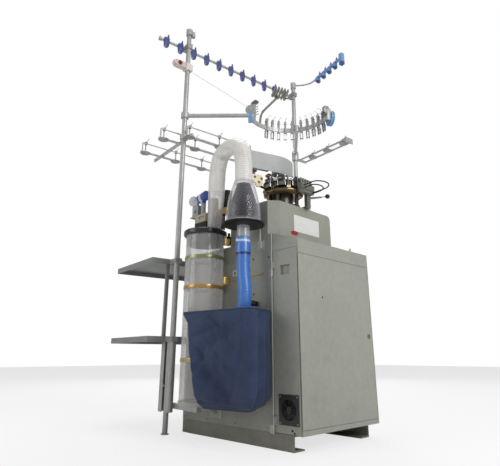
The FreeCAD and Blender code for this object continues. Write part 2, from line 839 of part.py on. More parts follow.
def shield_solid(t):
    """The shield's sheet, t thick, between its inner and outer plan lines."""
    inner = shield_arc(0.0)
    outer = shield_arc(t)
    edges = [Part.makeLine(inner[0], inner[2]), Part.Arc(inner[2], inner[3], inner[4]).toShape(),
             Part.makeLine(inner[4], outer[4]), Part.Arc(outer[4], outer[3], outer[2]).toShape(),
             Part.makeLine(outer[2], outer[0]), Part.makeLine(outer[0], inner[0])]
    strip = Part.Face(Part.Wire(edges)).extrude(V(0, 0, shield_z1 - shield_z0))
    strip.translate(V(0, 0, shield_z0))
    return strip


def shield_inside():
    """Space behind the bent part of the shield."""
    inner = shield_arc(0.0)
    edges = [Part.Arc(inner[2], inner[3], inner[4]).toShape(),
             Part.makeLine(inner[4], V(head_x - 60, head_y, 0)),
             Part.makeLine(V(head_x - 60, head_y, 0), inner[2])]
    return Part.Face(Part.Wire(edges)).extrude(V(0, 0, 2 * shield_z1))


def head_shield():
    """Curved sheet shield in front of the dial drive, with a small upright lever."""
    sheet_part = shield_solid(shield_t)
    a = shield_line()[0]
    pin = wire((a[0] + 3, a[1] + 12, shield_z1 - 12), (a[0] + 1, a[1] + 8, shield_z1 + 26), 3.0)
    return sheet_part.fuse(pin)


# ---------------------------------------------------------------- head fittings
def feeder_bracket():
    """Cast feeder bracket, a pierced plate that hangs under the shield's wing."""
    a = V(*shield_line()[0], 0)
    b = V(*shield_line()[1], 0)
    u = (b - a).normalize()
    n = V(u.y, -u.x, 0)
    outline = [(10, shield_z0 - seat), (66, shield_z0 - seat), (66, 1160), (78, 1150), (78, 1120),
               (60, 1104), (42, 1104), (30, 1122), (18, 1150)]
    points = [a + u * s + V(0, 0, z) for s, z in outline]
    plate = prism([(p.x, p.y, p.z) for p in points], tuple(-n * 9))
    holes = []
    for s, z, r in ((26, 1180, 5), (34, 1152, 6), (62, 1132, 7)):
        p = a + u * s + V(0, 0, z) + n * 1
        holes.append(peg(r, 12, (p.x, p.y, p.z), tuple(-n)))
    q = a + u * 50 + V(0, 0, 1112) - n * 9
    arm = wire((q.x, q.y, q.z), (head_x - 28, head_y - 84, 1118), 6, 8)
    body = plate.cut(holes).fuse(arm)
    return body.cut(cyl(ring_r + 3 + seat, 200, (head_x, head_y, 1000)))


def bracket_knob():
    """Clamping knob on the shield above the bracket: a black cap on a steel stem."""
    a = V(*shield_line()[0], 0)
    b = V(*shield_line()[1], 0)
    u = (b - a).normalize()
    n = V(u.y, -u.x, 0)
    p = a + u * 34 + V(0, 0, shield_z0 + 16) + n * (shield_t + 0.5)
    stem = peg(6, 12, tuple(p), tuple(n))
    cap = peg(15, 12, tuple(p + n * 12), tuple(n), 12)
    return stem.fuse(cap)


def selector_blocks():
    """Selection actuators standing round the cam ring."""
    made = []
    z = ring_z0 + ring_h + seat
    for angle, w, d, h in ((-78, 26, 20, 32), (-30, 24, 22, 38), (-8, 22, 24, 38), (112, 26, 22, 34),
                           (168, 26, 22, 34), (222, 26, 22, 34)):
        body = box(head_x + 62, head_x + 62 + d, head_y - w / 2, head_y + w / 2, z, z + h)
        slot = box(head_x + 62 + d - 5, head_x + 62 + d, head_y - w / 2 + 4, head_y + w / 2 - 4,
                   z + 6, z + h - 6)
        nose = box(head_x + 56, head_x + 62, head_y - w / 4, head_y + w / 4, z, z + 10)
        made.append(spun(fused([body.cut(slot), nose]), head_x, head_y, angle))
    return group(made)


def feeder_fingers():
    """Finger ring above the cams: bar, bright post, yarn fingers and sprung end block."""
    z = ring_z0 + ring_h + seat
    made = []
    for angle in (-62, -54, -46, 20, 30, 40, 60, 72, 134, 146, 190, 202):
        finger = prism([(head_x + 58, head_y, z), (head_x + 88, head_y, z),
                        (head_x + 88, head_y, z + 5), (head_x + 66, head_y, z + 9),
                        (head_x + 60, head_y, z + 30), (head_x + 56, head_y, z + 30)], (0, 3, 0))
        made.append(spun(finger, head_x, head_y, angle))
    post = spun(peg(4.2, 46, (head_x + 92, head_y, ring_z0 + 34.3)), head_x, head_y, 45 * 7 + 12)
    made.append(post)
    return group(made)


def spring_bank():
    """Control block at the ring's right side with its row of ribbed spring sleeves."""
    x0 = head_x + ring_r + 5
    z0 = house_z1 + plate_t
    base = box(x0 - 37, x0 + 4, head_y + 52, head_y + 78, house_z1, z0)
    foot = box(x0 - 14, x0 + 4, head_y + 52, head_y + 78, house_z1, ring_z0 + 10).fuse(base)
    arm = box(x0 - 12, x0 + 20, head_y - 12, head_y + 86, ring_z0 + 6, ring_z0 + 22)
    block = box(x0 - 4, x0 + 24, head_y - 12, head_y + 86, ring_z0 + 22, ring_z0 + 50)
    parts = [foot, arm, block]
    for i in range(5):
        y = head_y + 2 + i * 18
        z = ring_z0 + 50
        steps = [(0, z), (5, z)]
        for k in range(3):
            steps += [(5, z + 4 + 8 * k), (7.5, z + 5 + 8 * k), (7.5, z + 8 + 8 * k), (5, z + 9 + 8 * k)]
        parts.append(turned(steps + [(5, z + 30), (0, z + 30)], x0 + 10, y, 6))
    body = fused(parts)
    return body.cut(cyl(ring_r + 5, 300, (head_x, head_y, z0)))


def lever_bracket():
    """Upright bracket on the housing that holds the lever's pivot pin."""
    x, y, z = lever_pivot()
    post = box(x - 8, x + 8, y - 6, y + 6, house_z1, z - 6)
    foot = box(x - 16, x + 10, y - 12, y + 12, house_z1, house_z1 + 5)
    collar = peg(11, 6, (x, y, z - 6), UP, 12)
    pin = cyl(4, 22, (x, y, z - 2))
    cross = box(x - 26, x - 8, y - 4, y + 4, z - 40, z - 32)
    return fused([post, foot, collar, pin, cross])


def lever_pivot():
    return house_x1 - 13.0, head_y + 99.0, ring_z0 - 2.0


def lift_lever():
    """Flat lever with a bored boss, a thin bright rod and a ball knob."""
    x, y, z = lever_pivot()
    boss = peg(10, 14, (x, y, z + seat), UP, 16)
    blade = prism([(x, y - 8, z + 4), (x + 60, y - 5, z + 4), (x + 72, y - 3, z + 4),
                   (x + 72, y + 3, z + 4), (x + 60, y + 5, z + 4), (x, y + 8, z + 4)], (0, 0, 7))
    arm = wire((x + 68, y, z + 7.5), (x + 92, y, z + 9), 2.2)
    ball = turned([(0, z - 3), (7, z - 0.8), (11, z + 4.4), (12, z + 9), (11, z + 13.6), (7, z + 18.8),
                   (0, z + 21)], x + 101, y, 12)
    lever = fused([boss, blade, arm, ball])
    lever = lever.cut(cyl(4 + run_fit, 20, (x, y, z - 1)))
    return spun(lever, x, y, 30)


def cable_points(scale, z_drop):
    x = head_x + ring_r + 29
    y = head_y
    shape = [(0, 0, 1126), (34, 0, 1126), (72, -12, 1124), (106, 8, 1119), (116, 42, 1113),
             (92, 68, 1107), (44, 70, 1104), (0, 70, 1104)]
    return [(x + px * scale, y + 8 + py * scale + (1 - scale) * 34, z - z_drop) for px, py, z in shape]


# ---------------------------------------------------------------- drive inside the cabinet
def drive_shaft():
    """Upright shaft with the pinion under the head and the belt pulley in the cabinet."""
    sx = head_x - shaft_reach()
    shaft = cyl(shaft_r, house_z1 - house_t - 6 - shaft_z0, (sx, head_y, shaft_z0))
    pinion = gear(pinion_teeth, gear_z0, gear_t, sx, head_y, 180.0 / pinion_teeth)
    wheel = pulley(pulley_r, sx, head_y)
    return shaft.fuse([pinion, wheel])


def pulley(r, x, y):
    z = shaft_z0 + 10
    profile = [(0, z), (r + 5, z), (r + 5, z + 2), (r, z + 2), (r, z + pulley_h - 2),
               (r + 5, z + pulley_h - 2), (r + 5, z + pulley_h), (0, z + pulley_h)]
    return turned(profile, x, y, 24)


def main_motor():
    """Upright drive motor with cooling fins on a plate that hangs from the deck."""
    z1 = motor_z0 + motor_len
    body = peg(motor_r - 6, motor_len, (motor_x, head_y, motor_z0), UP, 20)
    cowl = peg(motor_r, 40, (motor_x, head_y, motor_z0), UP, 20)
    parts = [body, cowl, peg(motor_r, 14, (motor_x, head_y, z1 - 14), UP, 20)]
    for i in range(10):
        fin = box(motor_x + motor_r - 8, motor_x + motor_r, head_y - 1.5, head_y + 1.5,
                  motor_z0 + 40, z1 - 14)
        parts.append(spun(fin, motor_x, head_y, 36.0 * i))
    plate = box(motor_x - 80, motor_x + 80, head_y - 80, head_y + 80, z1, z1 + 8)
    parts.append(plate.cut(cyl(20, 8, (motor_x, head_y, z1))))
    for sx in (-1, 1):
        for sy in (-1, 1):
            parts.append(wire((motor_x + sx * 70, head_y + sy * 70, z1),
                             (motor_x + sx * 70, head_y + sy * 70, cab_z1 - deck_t), 7))
    return fused(parts).cut(cyl(9 + run_fit, motor_len, (motor_x, head_y, z1 - 40)))


def motor_pulley():
    z1 = motor_z0 + motor_len
    shaft = cyl(9, shaft_z0 + 10 + pulley_h + 6 - z1 + 34, (motor_x, head_y, z1 - 34))
    return pulley(motor_pulley_r, motor_x, head_y).fuse(shaft)


def belt_outline(extra):
    """Open-belt outline round both pulleys, offset outwards by extra."""
    x1 = head_x - shaft_reach()
    r1 = pulley_r + extra
    r0 = motor_pulley_r + extra
    lean = atan2(r1 - r0, ((x1 - motor_x) ** 2 - (r1 - r0) ** 2) ** 0.5)
    z = shaft_z0 + 10 + 3
    points = []
    for x, r, a0, a1 in ((x1, r1, -pi / 2 - lean, pi / 2 + lean), (motor_x, r0, pi / 2 + lean, 3 * pi / 2 - lean)):
        for i in range(belt_steps + 1):
            a = a0 + (a1 - a0) * i / belt_steps
            points.append((x + r * cos(a), head_y + r * sin(a), z))
    return points


def drive_belt():
    outer = prism(belt_outline(seat + belt_t), (0, 0, pulley_h - 6))
    inner = prism(belt_outline(seat + 0.3), (0, 0, pulley_h - 6))
    return outer.cut(inner)


# ---------------------------------------------------------------- collector and bell
def collector_tube():
    """Clear collector, an open tube."""
    profile = [(col_r - col_wall, col_z0), (col_r, col_z0), (col_r, col_z1), (col_r - col_wall, col_z1)]
    return turned(profile, col_x, col_y, col_flats)


def collector_bands():
    """Metal bands round the collector, with the latch and two lugs on its right side."""
    parts = []
    for z in (778.0, 641.0, 318.0):
        r = col_r + seat
        parts.append(turned([(r, z), (r + band_t, z), (r + band_t, z + band_h), (r, z + band_h)],
                            col_x, col_y, col_flats))
    a = radians(-52)
    for z, h, w in ((836.0, 26.0, 16.0), (640.0, 20.0, 18.0)):
        lug = box(col_x + col_r + seat, col_x + col_r + 10, col_y - w / 2, col_y + w / 2, z, z + h)
        parts.append(spun(lug, col_x, col_y, degrees(a) + 34))
    latch = box(col_x + col_r + seat, col_x + col_r + 16, col_y - 11, col_y + 11, 690.0, 726.0)
    latch = latch.fuse(box(col_x + col_r + 6, col_x + col_r + 24, col_y - 5, col_y + 5, 700.0, 716.0))
    parts.append(spun(latch, col_x, col_y, 12))
    return fused(parts)


def collector_lid():
    """Black lid with a rolled rim, a dark inner sleeve and the inlet spigot."""
    r_in = col_r - col_wall - seat
    profile = [(0, lid_z1 - 4), (r_in - 3, lid_z1 - 4), (r_in - 3, 848.0), (r_in, 848.0),
               (r_in, col_z1 + seat), (col_r + seat, col_z1 + seat), (col_r + seat, lid_z0),
               (lid_r - 3, lid_z0), (lid_r, lid_z0 + 4), (lid_r, lid_z1 - 5), (lid_r - 5, lid_z1), (0, lid_z1)]
    lid = turned(profile, col_x, col_y, col_flats)
    return lid.cut(peg(pipe_r0 - 3, 40, (pipe_x0, col_y, lid_z1 - 20), UP, 24))


def collector_pipe():
    """Clear cone from the lid up to the left leg of the hose."""
    rings = [around(x, y, r, z, 28) for x, y, r, z in (
        (pipe_x0, col_y, pipe_r0, lid_z1), (u_left, hose_y, u_r, u_low),
        (u_left, hose_y, u_r - 3, u_low), (pipe_x0, col_y, pipe_r0 - 3, lid_z1))]
    return skinned(rings, False)


def collector_base():
    """Base tray under the tube with a ribbed bracket to the cabinet wall."""
    z = col_z0 - seat
    tray = [(0, z - base_t), (col_r + 2.5, z - base_t), (col_r + 2.5, z + 6), (col_r + 1, z + 6),
            (col_r + 1, z), (0, z)]
    pan = turned(tray, col_x, col_y, col_flats)
    y_wall = -cab_wid / 2
    arm = box(col_x - 40, col_x + 40, col_y, y_wall, z - base_t - 8, z - base_t)
    rib = prism([(col_x - 3, col_y + 20, z - base_t - 8), (col_x - 3, y_wall, z - base_t - 8),
                 (col_x - 3, y_wall, z - base_t - 50)], (6, 0, 0))
    foot = box(col_x - 40, col_x + 40, y_wall - 5, y_wall, z - base_t - 60, z - base_t)
    return fused([pan, arm, rib, foot])


def bell_cone():
    """Clear outer cone of the bell."""
    z1 = u_low - 3
    profile = [(bell_low_r, bell_z0), (bell_top_r, z1), (bell_top_r - bell_wall, z1),
               (bell_low_r - bell_wall, bell_z0)]
    return turned(profile, bell_x, hose_y, bell_flats)


def bell_liner():
    """Dark inner cone, a little shorter, with a lip at its foot."""
    z0 = bell_z0
    z1 = u_low - 14
    k = (bell_low_r - bell_top_r) / (u_low - 3 - bell_z0)
    r0 = bell_low_r - bell_wall - 4
    r1 = r0 - k * (z1 - z0)
    profile = [(r0, z0), (r1, z1), (r1 - 2.5, z1), (r0 - 2.5, z0)]
    return turned(profile, bell_x, hose_y, bell_flats)


def bell_flange():
    """Black foot flange, with a lug for the post on the cabinet side."""
    z = bell_z0 - flange_t
    profile = [(drop_bore, z), (flange_r - 4, z), (flange_r, z + 3), (flange_r, z + flange_t),
               (drop_bore, z + flange_t)]
    top = turned([(bell_top_r - bell_wall, u_low - 3), (bell_top_r + 2, u_low - 3),
                  (bell_top_r + 2, u_low), (u_r - u_wall, u_low), (u_r - u_wall, u_low - 3)],
                 bell_x, hose_y, 24)
    lug = box(bell_x + 8, bell_x + 30, hose_y + 60, post_y() + 8, z, z + flange_t)
    lug = lug.cut(peg(flange_r - 20, flange_t, (bell_x, hose_y, z), UP, 24))
    return group([turned(profile, bell_x, hose_y, bell_flats).fuse(lug).removeSplitter(), top])


def post_y():
    """The bell's post stands just in front of the hood's work-side face."""
    return -cab_wid / 2 - 11.0


def bell_post():
    """Rod under the bell's lug, on a block screwed to the side of the hood."""
    x = bell_x + 19
    y = -cab_wid / 2
    foot_z = cab_z1 + 12
    post = wire((x, post_y(), foot_z), (x, post_y(), bell_z0 - flange_t), 4.5, 8)
    plate = box(x - 16, x + 16, y - 4, y, foot_z, foot_z + 44)
    block = box(x - 8, x + 8, post_y() - 8, y - 4, foot_z + 6, foot_z + 38)
    return fused([post, plate, block])


def drop_tube():
    z1 = bell_z0 - flange_t
    return turned([(drop_bore, drop_z0), (drop_r, drop_z0), (drop_r, z1), (drop_bore, z1)],
                  bell_x, hose_y, 24)


def hose_cuff():
    """Blue clamp and cuff under the drop tube; its lip covers the end of the hose."""
    profile = [(drop_bore, cuff_z0), (blue_r + 0.6, cuff_z0), (blue_r + 0.6, cuff_z0 - cuff_lip),
               (blue_r + 3.5, cuff_z0 - cuff_lip), (blue_r + 4, cuff_z0 + 20),
               (blue_r + 2, cuff_z0 + 30), (blue_r + 2, drop_z0 - 4), (blue_r, drop_z0),
               (drop_bore, drop_z0)]
    cuff = turned(profile, bell_x, hose_y, 24)
    ear = box(bell_x - 4, bell_x + 4, hose_y - blue_r - 12, hose_y - blue_r, drop_z0 - 26, drop_z0 - 10)
    return fused([cuff, ear])


# ---------------------------------------------------------------- bag
def bag_section(z, left, front, right_x, right_y, back, inset):
    """One level of the bag: a folded front, a side, the cabinet face and the collector's hollow."""
    r = col_r + band_t + bag_clear + inset
    y_back = -cab_wid / 2 - bag_clear - inset - back
    xl = left + inset
    yf = front + inset
    xb = right_x - inset
    yb = right_y + inset
    xw = min(bag_back_x, right_x - bag_flare) - inset
    start = -pi / 2 - atan2(col_x - xl, (r * r - (xl - col_x) ** 2) ** 0.5)
    hollow = [start + (-start) * i / 6 for i in range(7)]
    points = [V(col_x + r * cos(a), col_y + r * sin(a), z) for a in hollow]
    points += [V(col_x + r + 13, y_back, z), V(xw, y_back, z), V(xb, yb, z),
               V(xb - 7, yb - 12, z), V(xb - 22, yb - 16, z)]
    run = V(xl - (xb - 22), yf - (yb - 16), 0)
    out = V(run.y, -run.x, 0).normalize() * -1
    for i in range(1, bag_folds * 2):
        share = i / (bag_folds * 2)
        swell = fold_deep * sin(pi * share * bag_folds * 2 / 2 + pi / 2) * fold_share(z)
        points.append(points[11] + run * share + out * swell)
    points.append(V(xl, yf, z))
    return points


def fold_share(z):
    """The front's folds are deepest half-way down and fade at the rim and the foot."""
    return max(0.0, sin(pi * (z - 140) / (bag_z1 - 140)))


def bag_levels():
    """The rim's corner is pulled out over the collector, and the sack narrows under it to its foot."""
    return ((bag_z1, rim_left, rim_front, rim_right_x, rim_right_y, 0), (476, -88, -478, 276, -414, 0),
            (394, -74, -482, 278, -412, 0), (318, -58, -484, 278, -412, 0), (248, -42, -482, 276, -412, 1),
            (190, -36, -472, 266, -410, 4), (160, -38, -450, 244, -398, 12), (138, -40, -414, 200, -368, 26))


def sock_bag():
    """Cloth sack, open at the top, hollowed round the clear collector."""
    levels = bag_levels()
    outer = skinned([bag_section(*level, 0.0) for level in levels], True)
    inner = [bag_section(*level, bag_t) for level in levels[:-1]]
    inner[0] = bag_section(bag_z1 + 1, *levels[0][1:], bag_t)
    return outer.cut(skinned(inner, True))


def bag_frame():
    """Wire frame under the bag's rim, held by two clips on the cabinet wall."""
    z = bag_z1 + rim_wire_r + seat
    y = -cab_wid / 2
    inside = bag_t / 2
    p = [(bag_back_x - inside, y - 4, z), (rim_right_x - 6, rim_right_y + 6, z),
         (rim_left + 6, rim_front + 4, z)]
    bars = [wire(p[0], p[1], rim_wire_r), wire(p[1], p[2], rim_wire_r)]
    back = wire((-5, y - 4, z), p[0], rim_wire_r)
    clips = [box(x - 8, x + 8, y - 8, y, z - 2, z + 12) for x in (20, 200)]
    return fused(bars + [back] + clips)


# ---------------------------------------------------------------- air unit
def valve_foot():
    """Black ribbed block on the left of the collector's lid."""
    z = lid_z1
    block = box(-200, -112, -372, -328, z, z + 53)
    grooves = [box(-194 + 14 * i, -187 + 14 * i, -372, -368, z + 6, z + 47) for i in range(6)]
    return block.cut(grooves)


def filter_box():
    """Beige box with a slot in its face, over the ribbed block."""
    z = lid_z1 + 53
    body = box(-198, -114, -374, -326, z, z + 40)
    slot = box(-166, -120, -374, -368, z + 18, z + 30)
    lip = box(-238, -112, -374, -326, z + 36, z + 42)
    return fused([body.cut(slot), lip])


def valve_unit():
    """Air valves: manifold, gauge and elbow on the box, and the filter bowls behind the pipe."""
    z = lid_z1 + 95
    manifold = box(-236, -190, -364, -330, z, z + 58)
    port = peg(8, 8, (-213, -372, z + 28), (0, 1, 0))
    gauge = peg(27, 22, (-232, -364, z + 88), (-0.35, 0.9, 0.1), 16)
    neck = wire((-214, -346, z + 56), (-226, -348, z + 90), 11)
    riser = peg(13, 80, (-160, -352, z), UP, 8)
    hood = peg(24, 60, (-190, -353, z + 90), (1, 0, 0.2), 12)
    return group([fused([manifold, port, gauge, neck]), fused([riser, hood])])


def brass_fittings():
    """Filter bowls on the lid behind the pipe, under a brass manifold with two plugs."""
    z = lid_z1
    bowls = [peg(r, h, (x, -298, z), UP, 12) for x, r, h in ((-146, 22, 92), (-108, 15, 92), (-76, 15, 92))]
    tall = peg(26, 98, (-150, -298, z + 92), UP, 12)
    body = box(-126, -42, -308, -278, z + 90, z + 122)
    plugs = [hexagon(9, 8, (x, -308, z + 106)) for x in (-106, -82)]
    can = peg(22, 92, (-62, -288, z + 122), (0.12, 0.04, 1), 12)
    return fused(bowls + [tall, body, can] + plugs)


def hexagon(r, h, base):
    x, y, z = base
    ring = [(x + r * cos(radians(60 * i)), y, z + r * sin(radians(60 * i))) for i in range(6)]
    return prism(ring, (0, -h, 0))


# ---------------------------------------------------------------- yarn stand
def left_mast():
    """Left mast with a cap clamp, and the telescoping foot beside it."""
    pole = cyl(mast_r, mast_z1 - 20 - left_mast_z0, (0, 0, left_mast_z0))
    cap = peg(mast_r + 6, 40, (0, 0, mast_z1 - 46), UP, 12)
    dome = turned([(0, mast_z1 - 7), (mast_r + 6, mast_z1 - 7), (mast_r + 3, mast_z1 - 2), (0, mast_z1)],
                  0, 0, 12)
    side = peg(12, 34, (16, 18, mast_z1 - 58), UP, 10)
    bridge = box(4, 20, 2, 24, mast_z1 - 44, mast_z1 - 28)
    return fused([pole, cap, dome, side, bridge])


def stand_foot():
    """Foot tube in its channel, with the clamping screw, and the tie to the collector base."""
    x = -mast_r - foot_r - seat
    foot = cyl(foot_r, shelf_low - 12, (x, 0, 0))
    pad = peg(foot_r + 6, 6, (x, 0, 0), UP, 12)
    top = shelf_low - shelf_lip - seat
    web = box(-74, 6, mast_r + seat, mast_r + seat + 3, left_mast_z0, top)
    flange = box(-74, -71, -18, mast_r + seat, left_mast_z0, top)
    lug = box(-74, -42, -18, -15, left_mast_z0, top)
    screw = peg(5, 10, (-30, -foot_r - 8, 210), (0, 1, 0))
    return fused([foot, pad, web, flange, lug, screw])


def tie_arm():
    """Dark arm from the foot channel under the collector's base tray."""
    y = mast_r + seat + 3
    z1 = col_z0 - seat - base_t - 8
    return box(-20, 215, y, y + 26, z1 - 24, z1)


def upright():
    """Slim upright between the two shelves, and its lower run to the foot channel."""
    return box(-78, -62, -22, -6, shelf_low, shelf_top - shelf_t)


def right_mast():
    """Right mast from the floor to the cap that carries the tension bank."""
    pole = cyl(mast_r, right_mast_z1 - 6, (0, mast_gap, 0))
    pad = peg(mast_r + 10, 6, (0, mast_gap, 0), UP, 12)
    cap = cyl(mast_r + 5, 44, (0, mast_gap, right_mast_z1 - 44))
    collar = peg(mast_r + 5, 24, (0, mast_gap, 1250), UP, 12)
    knob = wire((0, mast_gap, 1262), (0, mast_gap + 34, 1262), 6, 8)
    return fused([pole, pad, cap, collar, knob])


def mast_clamps():
    """Clamp blocks that hold the top rail, the shelves and the side arms on the masts."""
    made = []
    for y in (0.0, mast_gap):
        block = box(rail_x - rail_r - 6, mast_r + 6, y - 16, y + 16, rail_z - 15, rail_z + 15)
        block = block.cut([collar_cut(mast_r + seat, 60, (0, y, rail_z - 30)),
                           collar_cut(rail_r + seat, 60, (rail_x, y - 30, rail_z), (0, 1, 0))])
        made.append(block)
    for z in (shelf_top, shelf_low):
        ear = box(shelf_x1 + seat, mast_r + 8, -18, 18, z - 26, z - 4)
        ear = ear.cut([collar_cut(mast_r + seat, 60, (0, 0, z - 50)),
                       collar_cut(foot_r + seat, 60, (-mast_r - foot_r - seat, 0, z - 50))])
        made.append(ear)
    return group([on_stand(shape) for shape in made] + [shelf_arm(z) for z in (shelf_top, shelf_low)])


def top_rail():
    rail = cyl(rail_r, rail_y1 - rail_y0, (rail_x, rail_y0, rail_z), (0, 1, 0))
    end = peg(rail_r + 5, 14, (rail_x, rail_y0 - 6, rail_z), (0, 1, 0), 12)
    return fused([rail, end])


def guide_plate():
    """Shield-shaped yarn guide: a drawn body, a clamp eye round the rail and a hook above."""
    w = guide_w / 2
    top = rail_z + 24
    low = top - guide_h
    outline = [(-w, top - 14), (-w + 5, top), (w - 5, top), (w, top - 14), (w - 2, low + 14),
               (w - 9, low), (-w + 9, low), (-w + 2, low + 14)]
    x = rail_x + rail_r + seat
    plate = prism([(x, y, z) for y, z in outline], (7, 0, 0))
    eye = box(rail_x - rail_r - 5, x + 2, -w + 6, w - 6, rail_z - 14, rail_z + 14)
    r = rail_r + seat
    eye = eye.cut(box(rail_x - r, rail_x + r, -w, w, rail_z - r, rail_z + r))
    hook = prism([(x, w - 8, top - 4), (x, w - 2, top - 4), (x, w + 9, top + 30), (x, w + 5, top + 31)],
                 (5, 0, 0))
    cup = peg(9, 9, (x + 6, 0, rail_z - 22), (1, 0, 0), 6)
    return fused([plate, eye, hook, cup])


def yarn_guides():
    made = []
    for i in range(guides):
        copy = guide_plate()
        copy.translate(V(0, guide_first + i * guide_pitch, 0))
        made.append(copy)
    return group(made)


def beacon_lamp():
    """Warning lamp that clasps the left mast, with a red lens on its face."""
    clasp = box(-18, 24, -22, 22, lamp_z - 20, lamp_z + 22)
    body = box(-14, 20, -86, -22, lamp_z - 14, lamp_z + 20)
    cap = peg(17, 8, (3, -94, lamp_z + 3), (0, 1, 0), 12)
    lens = peg(13, 7, (20, -62, lamp_z + 4), (1, 0, 0), 12).fuse(peg(8, 11, (20, -62, lamp_z + 4), (1, 0, 0), 12))
    body = fused([clasp, body, cap, lens])
    return body.cut(collar_cut(mast_r + seat, 80, (0, 0, lamp_z - 40)))


def arc_point(angle, r, z):
    a = radians(angle)
    return (arc_x + r * cos(a), arc_y + r * sin(a), z)


def arc_bar(r0, r1, z0, z1, a0, a1):
    """Part of a flat ring between two angles."""
    face = face_of([(r0, 0, z0), (r1, 0, z0), (r1, 0, z1), (r0, 0, z1)])
    bar = face.revolve(V(0, 0, 0), UP, a1 - a0)
    bar.rotate(V(0, 0, 0), UP, a0)
    bar.translate(V(arc_x, arc_y, 0))
    return bar


def arc_rail():
    """Curved carrier rail over the head, with the two arms from the masts."""
    rail = arc_bar(arc_r - 5, arc_r + 5, arc_z - 12, arc_z + 12, arc_from, arc_to)
    left = stand_point(0, 0, arm_z)
    right = stand_point(0, mast_gap, arm_z)
    end_l = arc_point(arc_to - 1.5, arc_r, arm_z)
    end_r = arc_point(arm_end, arc_r, arm_z)
    parts = [rail]
    for mast, end in ((left, end_l), (right, end_r)):
        parts.append(wire(mast, end, arm_r, 12))
        parts.append(peg(mast_r + 9, 34, (mast[0], mast[1], arm_z - 17), UP, 12))
        parts.append(peg(arm_r + 2, 40, (end[0], end[1], arc_z - 14), UP, 12))
    whole = fused(parts)
    return whole.cut([collar_cut(mast_r + seat, 60, (m[0], m[1], arm_z - 30)) for m in (left, right)])


def feeler_unit():
    """Yarn feeler: a clip round the rail, a finned body above it, a bent wire and an eye below."""
    z = arc_z + 12 + seat
    r0 = arc_r - 5 - seat
    r1 = arc_r + 5 + seat
    outline = [(r0, arc_z - 18), (r0, z), (r1, z), (r1, arc_z - 8), (r1 + 5, arc_z - 8), (r1 + 5, z + 16),
               (r1 + 9, z + 16), (r1 + 9, z + 20), (r1 + 3, z + 20), (r1 + 3, z + 30), (r1 + 7, z + 30),
               (r1 + 7, z + 34), (r1 + 1, z + 34), (r1 + 1, z + 46), (r0 - 4, z + 46), (r0 - 4, arc_z - 18)]
    body = prism([(r, -5, h) for r, h in outline], (0, 10, 0))
    hook = wire((arc_r - 4, 0, z + 42), (arc_r - 34, 0, z + 62), 1.8, 4)
    tip = wire((arc_r - 34, 0, z + 62), (arc_r - 44, 6, z + 50), 1.8, 4)
    eye = wire((arc_r - 7.4, 0, arc_z - 14), (arc_r - 22, 0, arc_z - 44), 2.0, 4)
    return fused([body, hook, tip, eye])


def feeler_units():
    made = []
    unit = feeler_unit()
    for i in range(feelers):
        copy = unit.copy()
        late = feeler_break if i >= feelers / 2 else 0.0
        copy.rotate(V(0, 0, 0), UP, feeler_first + i * feeler_step + late)
        copy.translate(V(arc_x, arc_y, 0))
        made.append(copy)
    return group(made)


def arc_end_plates():
    """End fittings of the arc: a half-round dial plate on the left and a long plate at right."""
    ends = []
    step = degrees((5 + seat) / arc_r)
    for angle, high in ((arc_to + step, 62), (arc_from - step, 40)):
        a = radians(angle)
        p = arc_point(angle, arc_r, arc_z + 30)
        disc = peg(30, 9, p, (-sin(a), cos(a), 0), 20)
        disc.translate(V(4.5 * sin(a), -4.5 * cos(a), high * 0.35))
        shank = box(arc_r - 12, arc_r + 12, -5, 5, arc_z - 34, arc_z + 60)
        shank.rotate(V(0, 0, 0), UP, angle)
        shank.translate(V(arc_x, arc_y, 0))
        ends.append(disc.fuse(shank))
    return group(ends)


def finger_stack():
    """Comb of flat fingers on a small post over the left end of the arc."""
    x, y, z = arc_point(arc_to - 12, arc_r, arc_z + 12 + seat)
    post = box(x - 7, x + 7, y - 7, y + 7, z, z + 112)
    combs = [box(x - 3, x + 34, y - 2 - k, y + 2 - k, z + 24 + 16 * k, z + 28 + 16 * k) for k in range(5)]
    top = prism([(x - 14, y - 9, z + 108), (x + 20, y - 9, z + 118), (x + 26, y - 9, z + 110),
                 (x - 14, y - 9, z + 100)], (0, 18, 0))
    return fused([post, top] + combs)


def tension_stack():
    """Stack of sloping tension plates on a curved stem that rises from the arc."""
    base = arc_point(181, arc_r, arc_z + 12 + 2 * seat)
    points = [base, (base[0] + 4, base[1] + 4, base[2] + 66), (base[0] + 46, base[1] + 44, base[2] + 128),
              (base[0] + 76, base[1] + 72, base[2] + 172)]
    stem = cord_body(points, 7, 8)
    end = V(*points[-1])
    along = (end - V(*points[-2])).normalize()
    parts = [stem, peg(12, 14, tuple(end - along * 6), tuple(along))]
    for k in range(5):
        p = end + V(11 * k - 8, 14 * k - 20, 34 - 5 * k)
        plate = box(-4, 4, -13, 13, -34, 34)
        plate.rotate(V(0, 0, 0), V(0, 1, 0), 24)
        plate.rotate(V(0, 0, 0), UP, 40)
        plate.translate(p)
        parts.append(plate)
    a = end + V(-20, -28, 6)
    b = end + V(66, 74, -14)
    parts.append(wire(tuple(a), tuple(b), 5))
    return fused(parts)


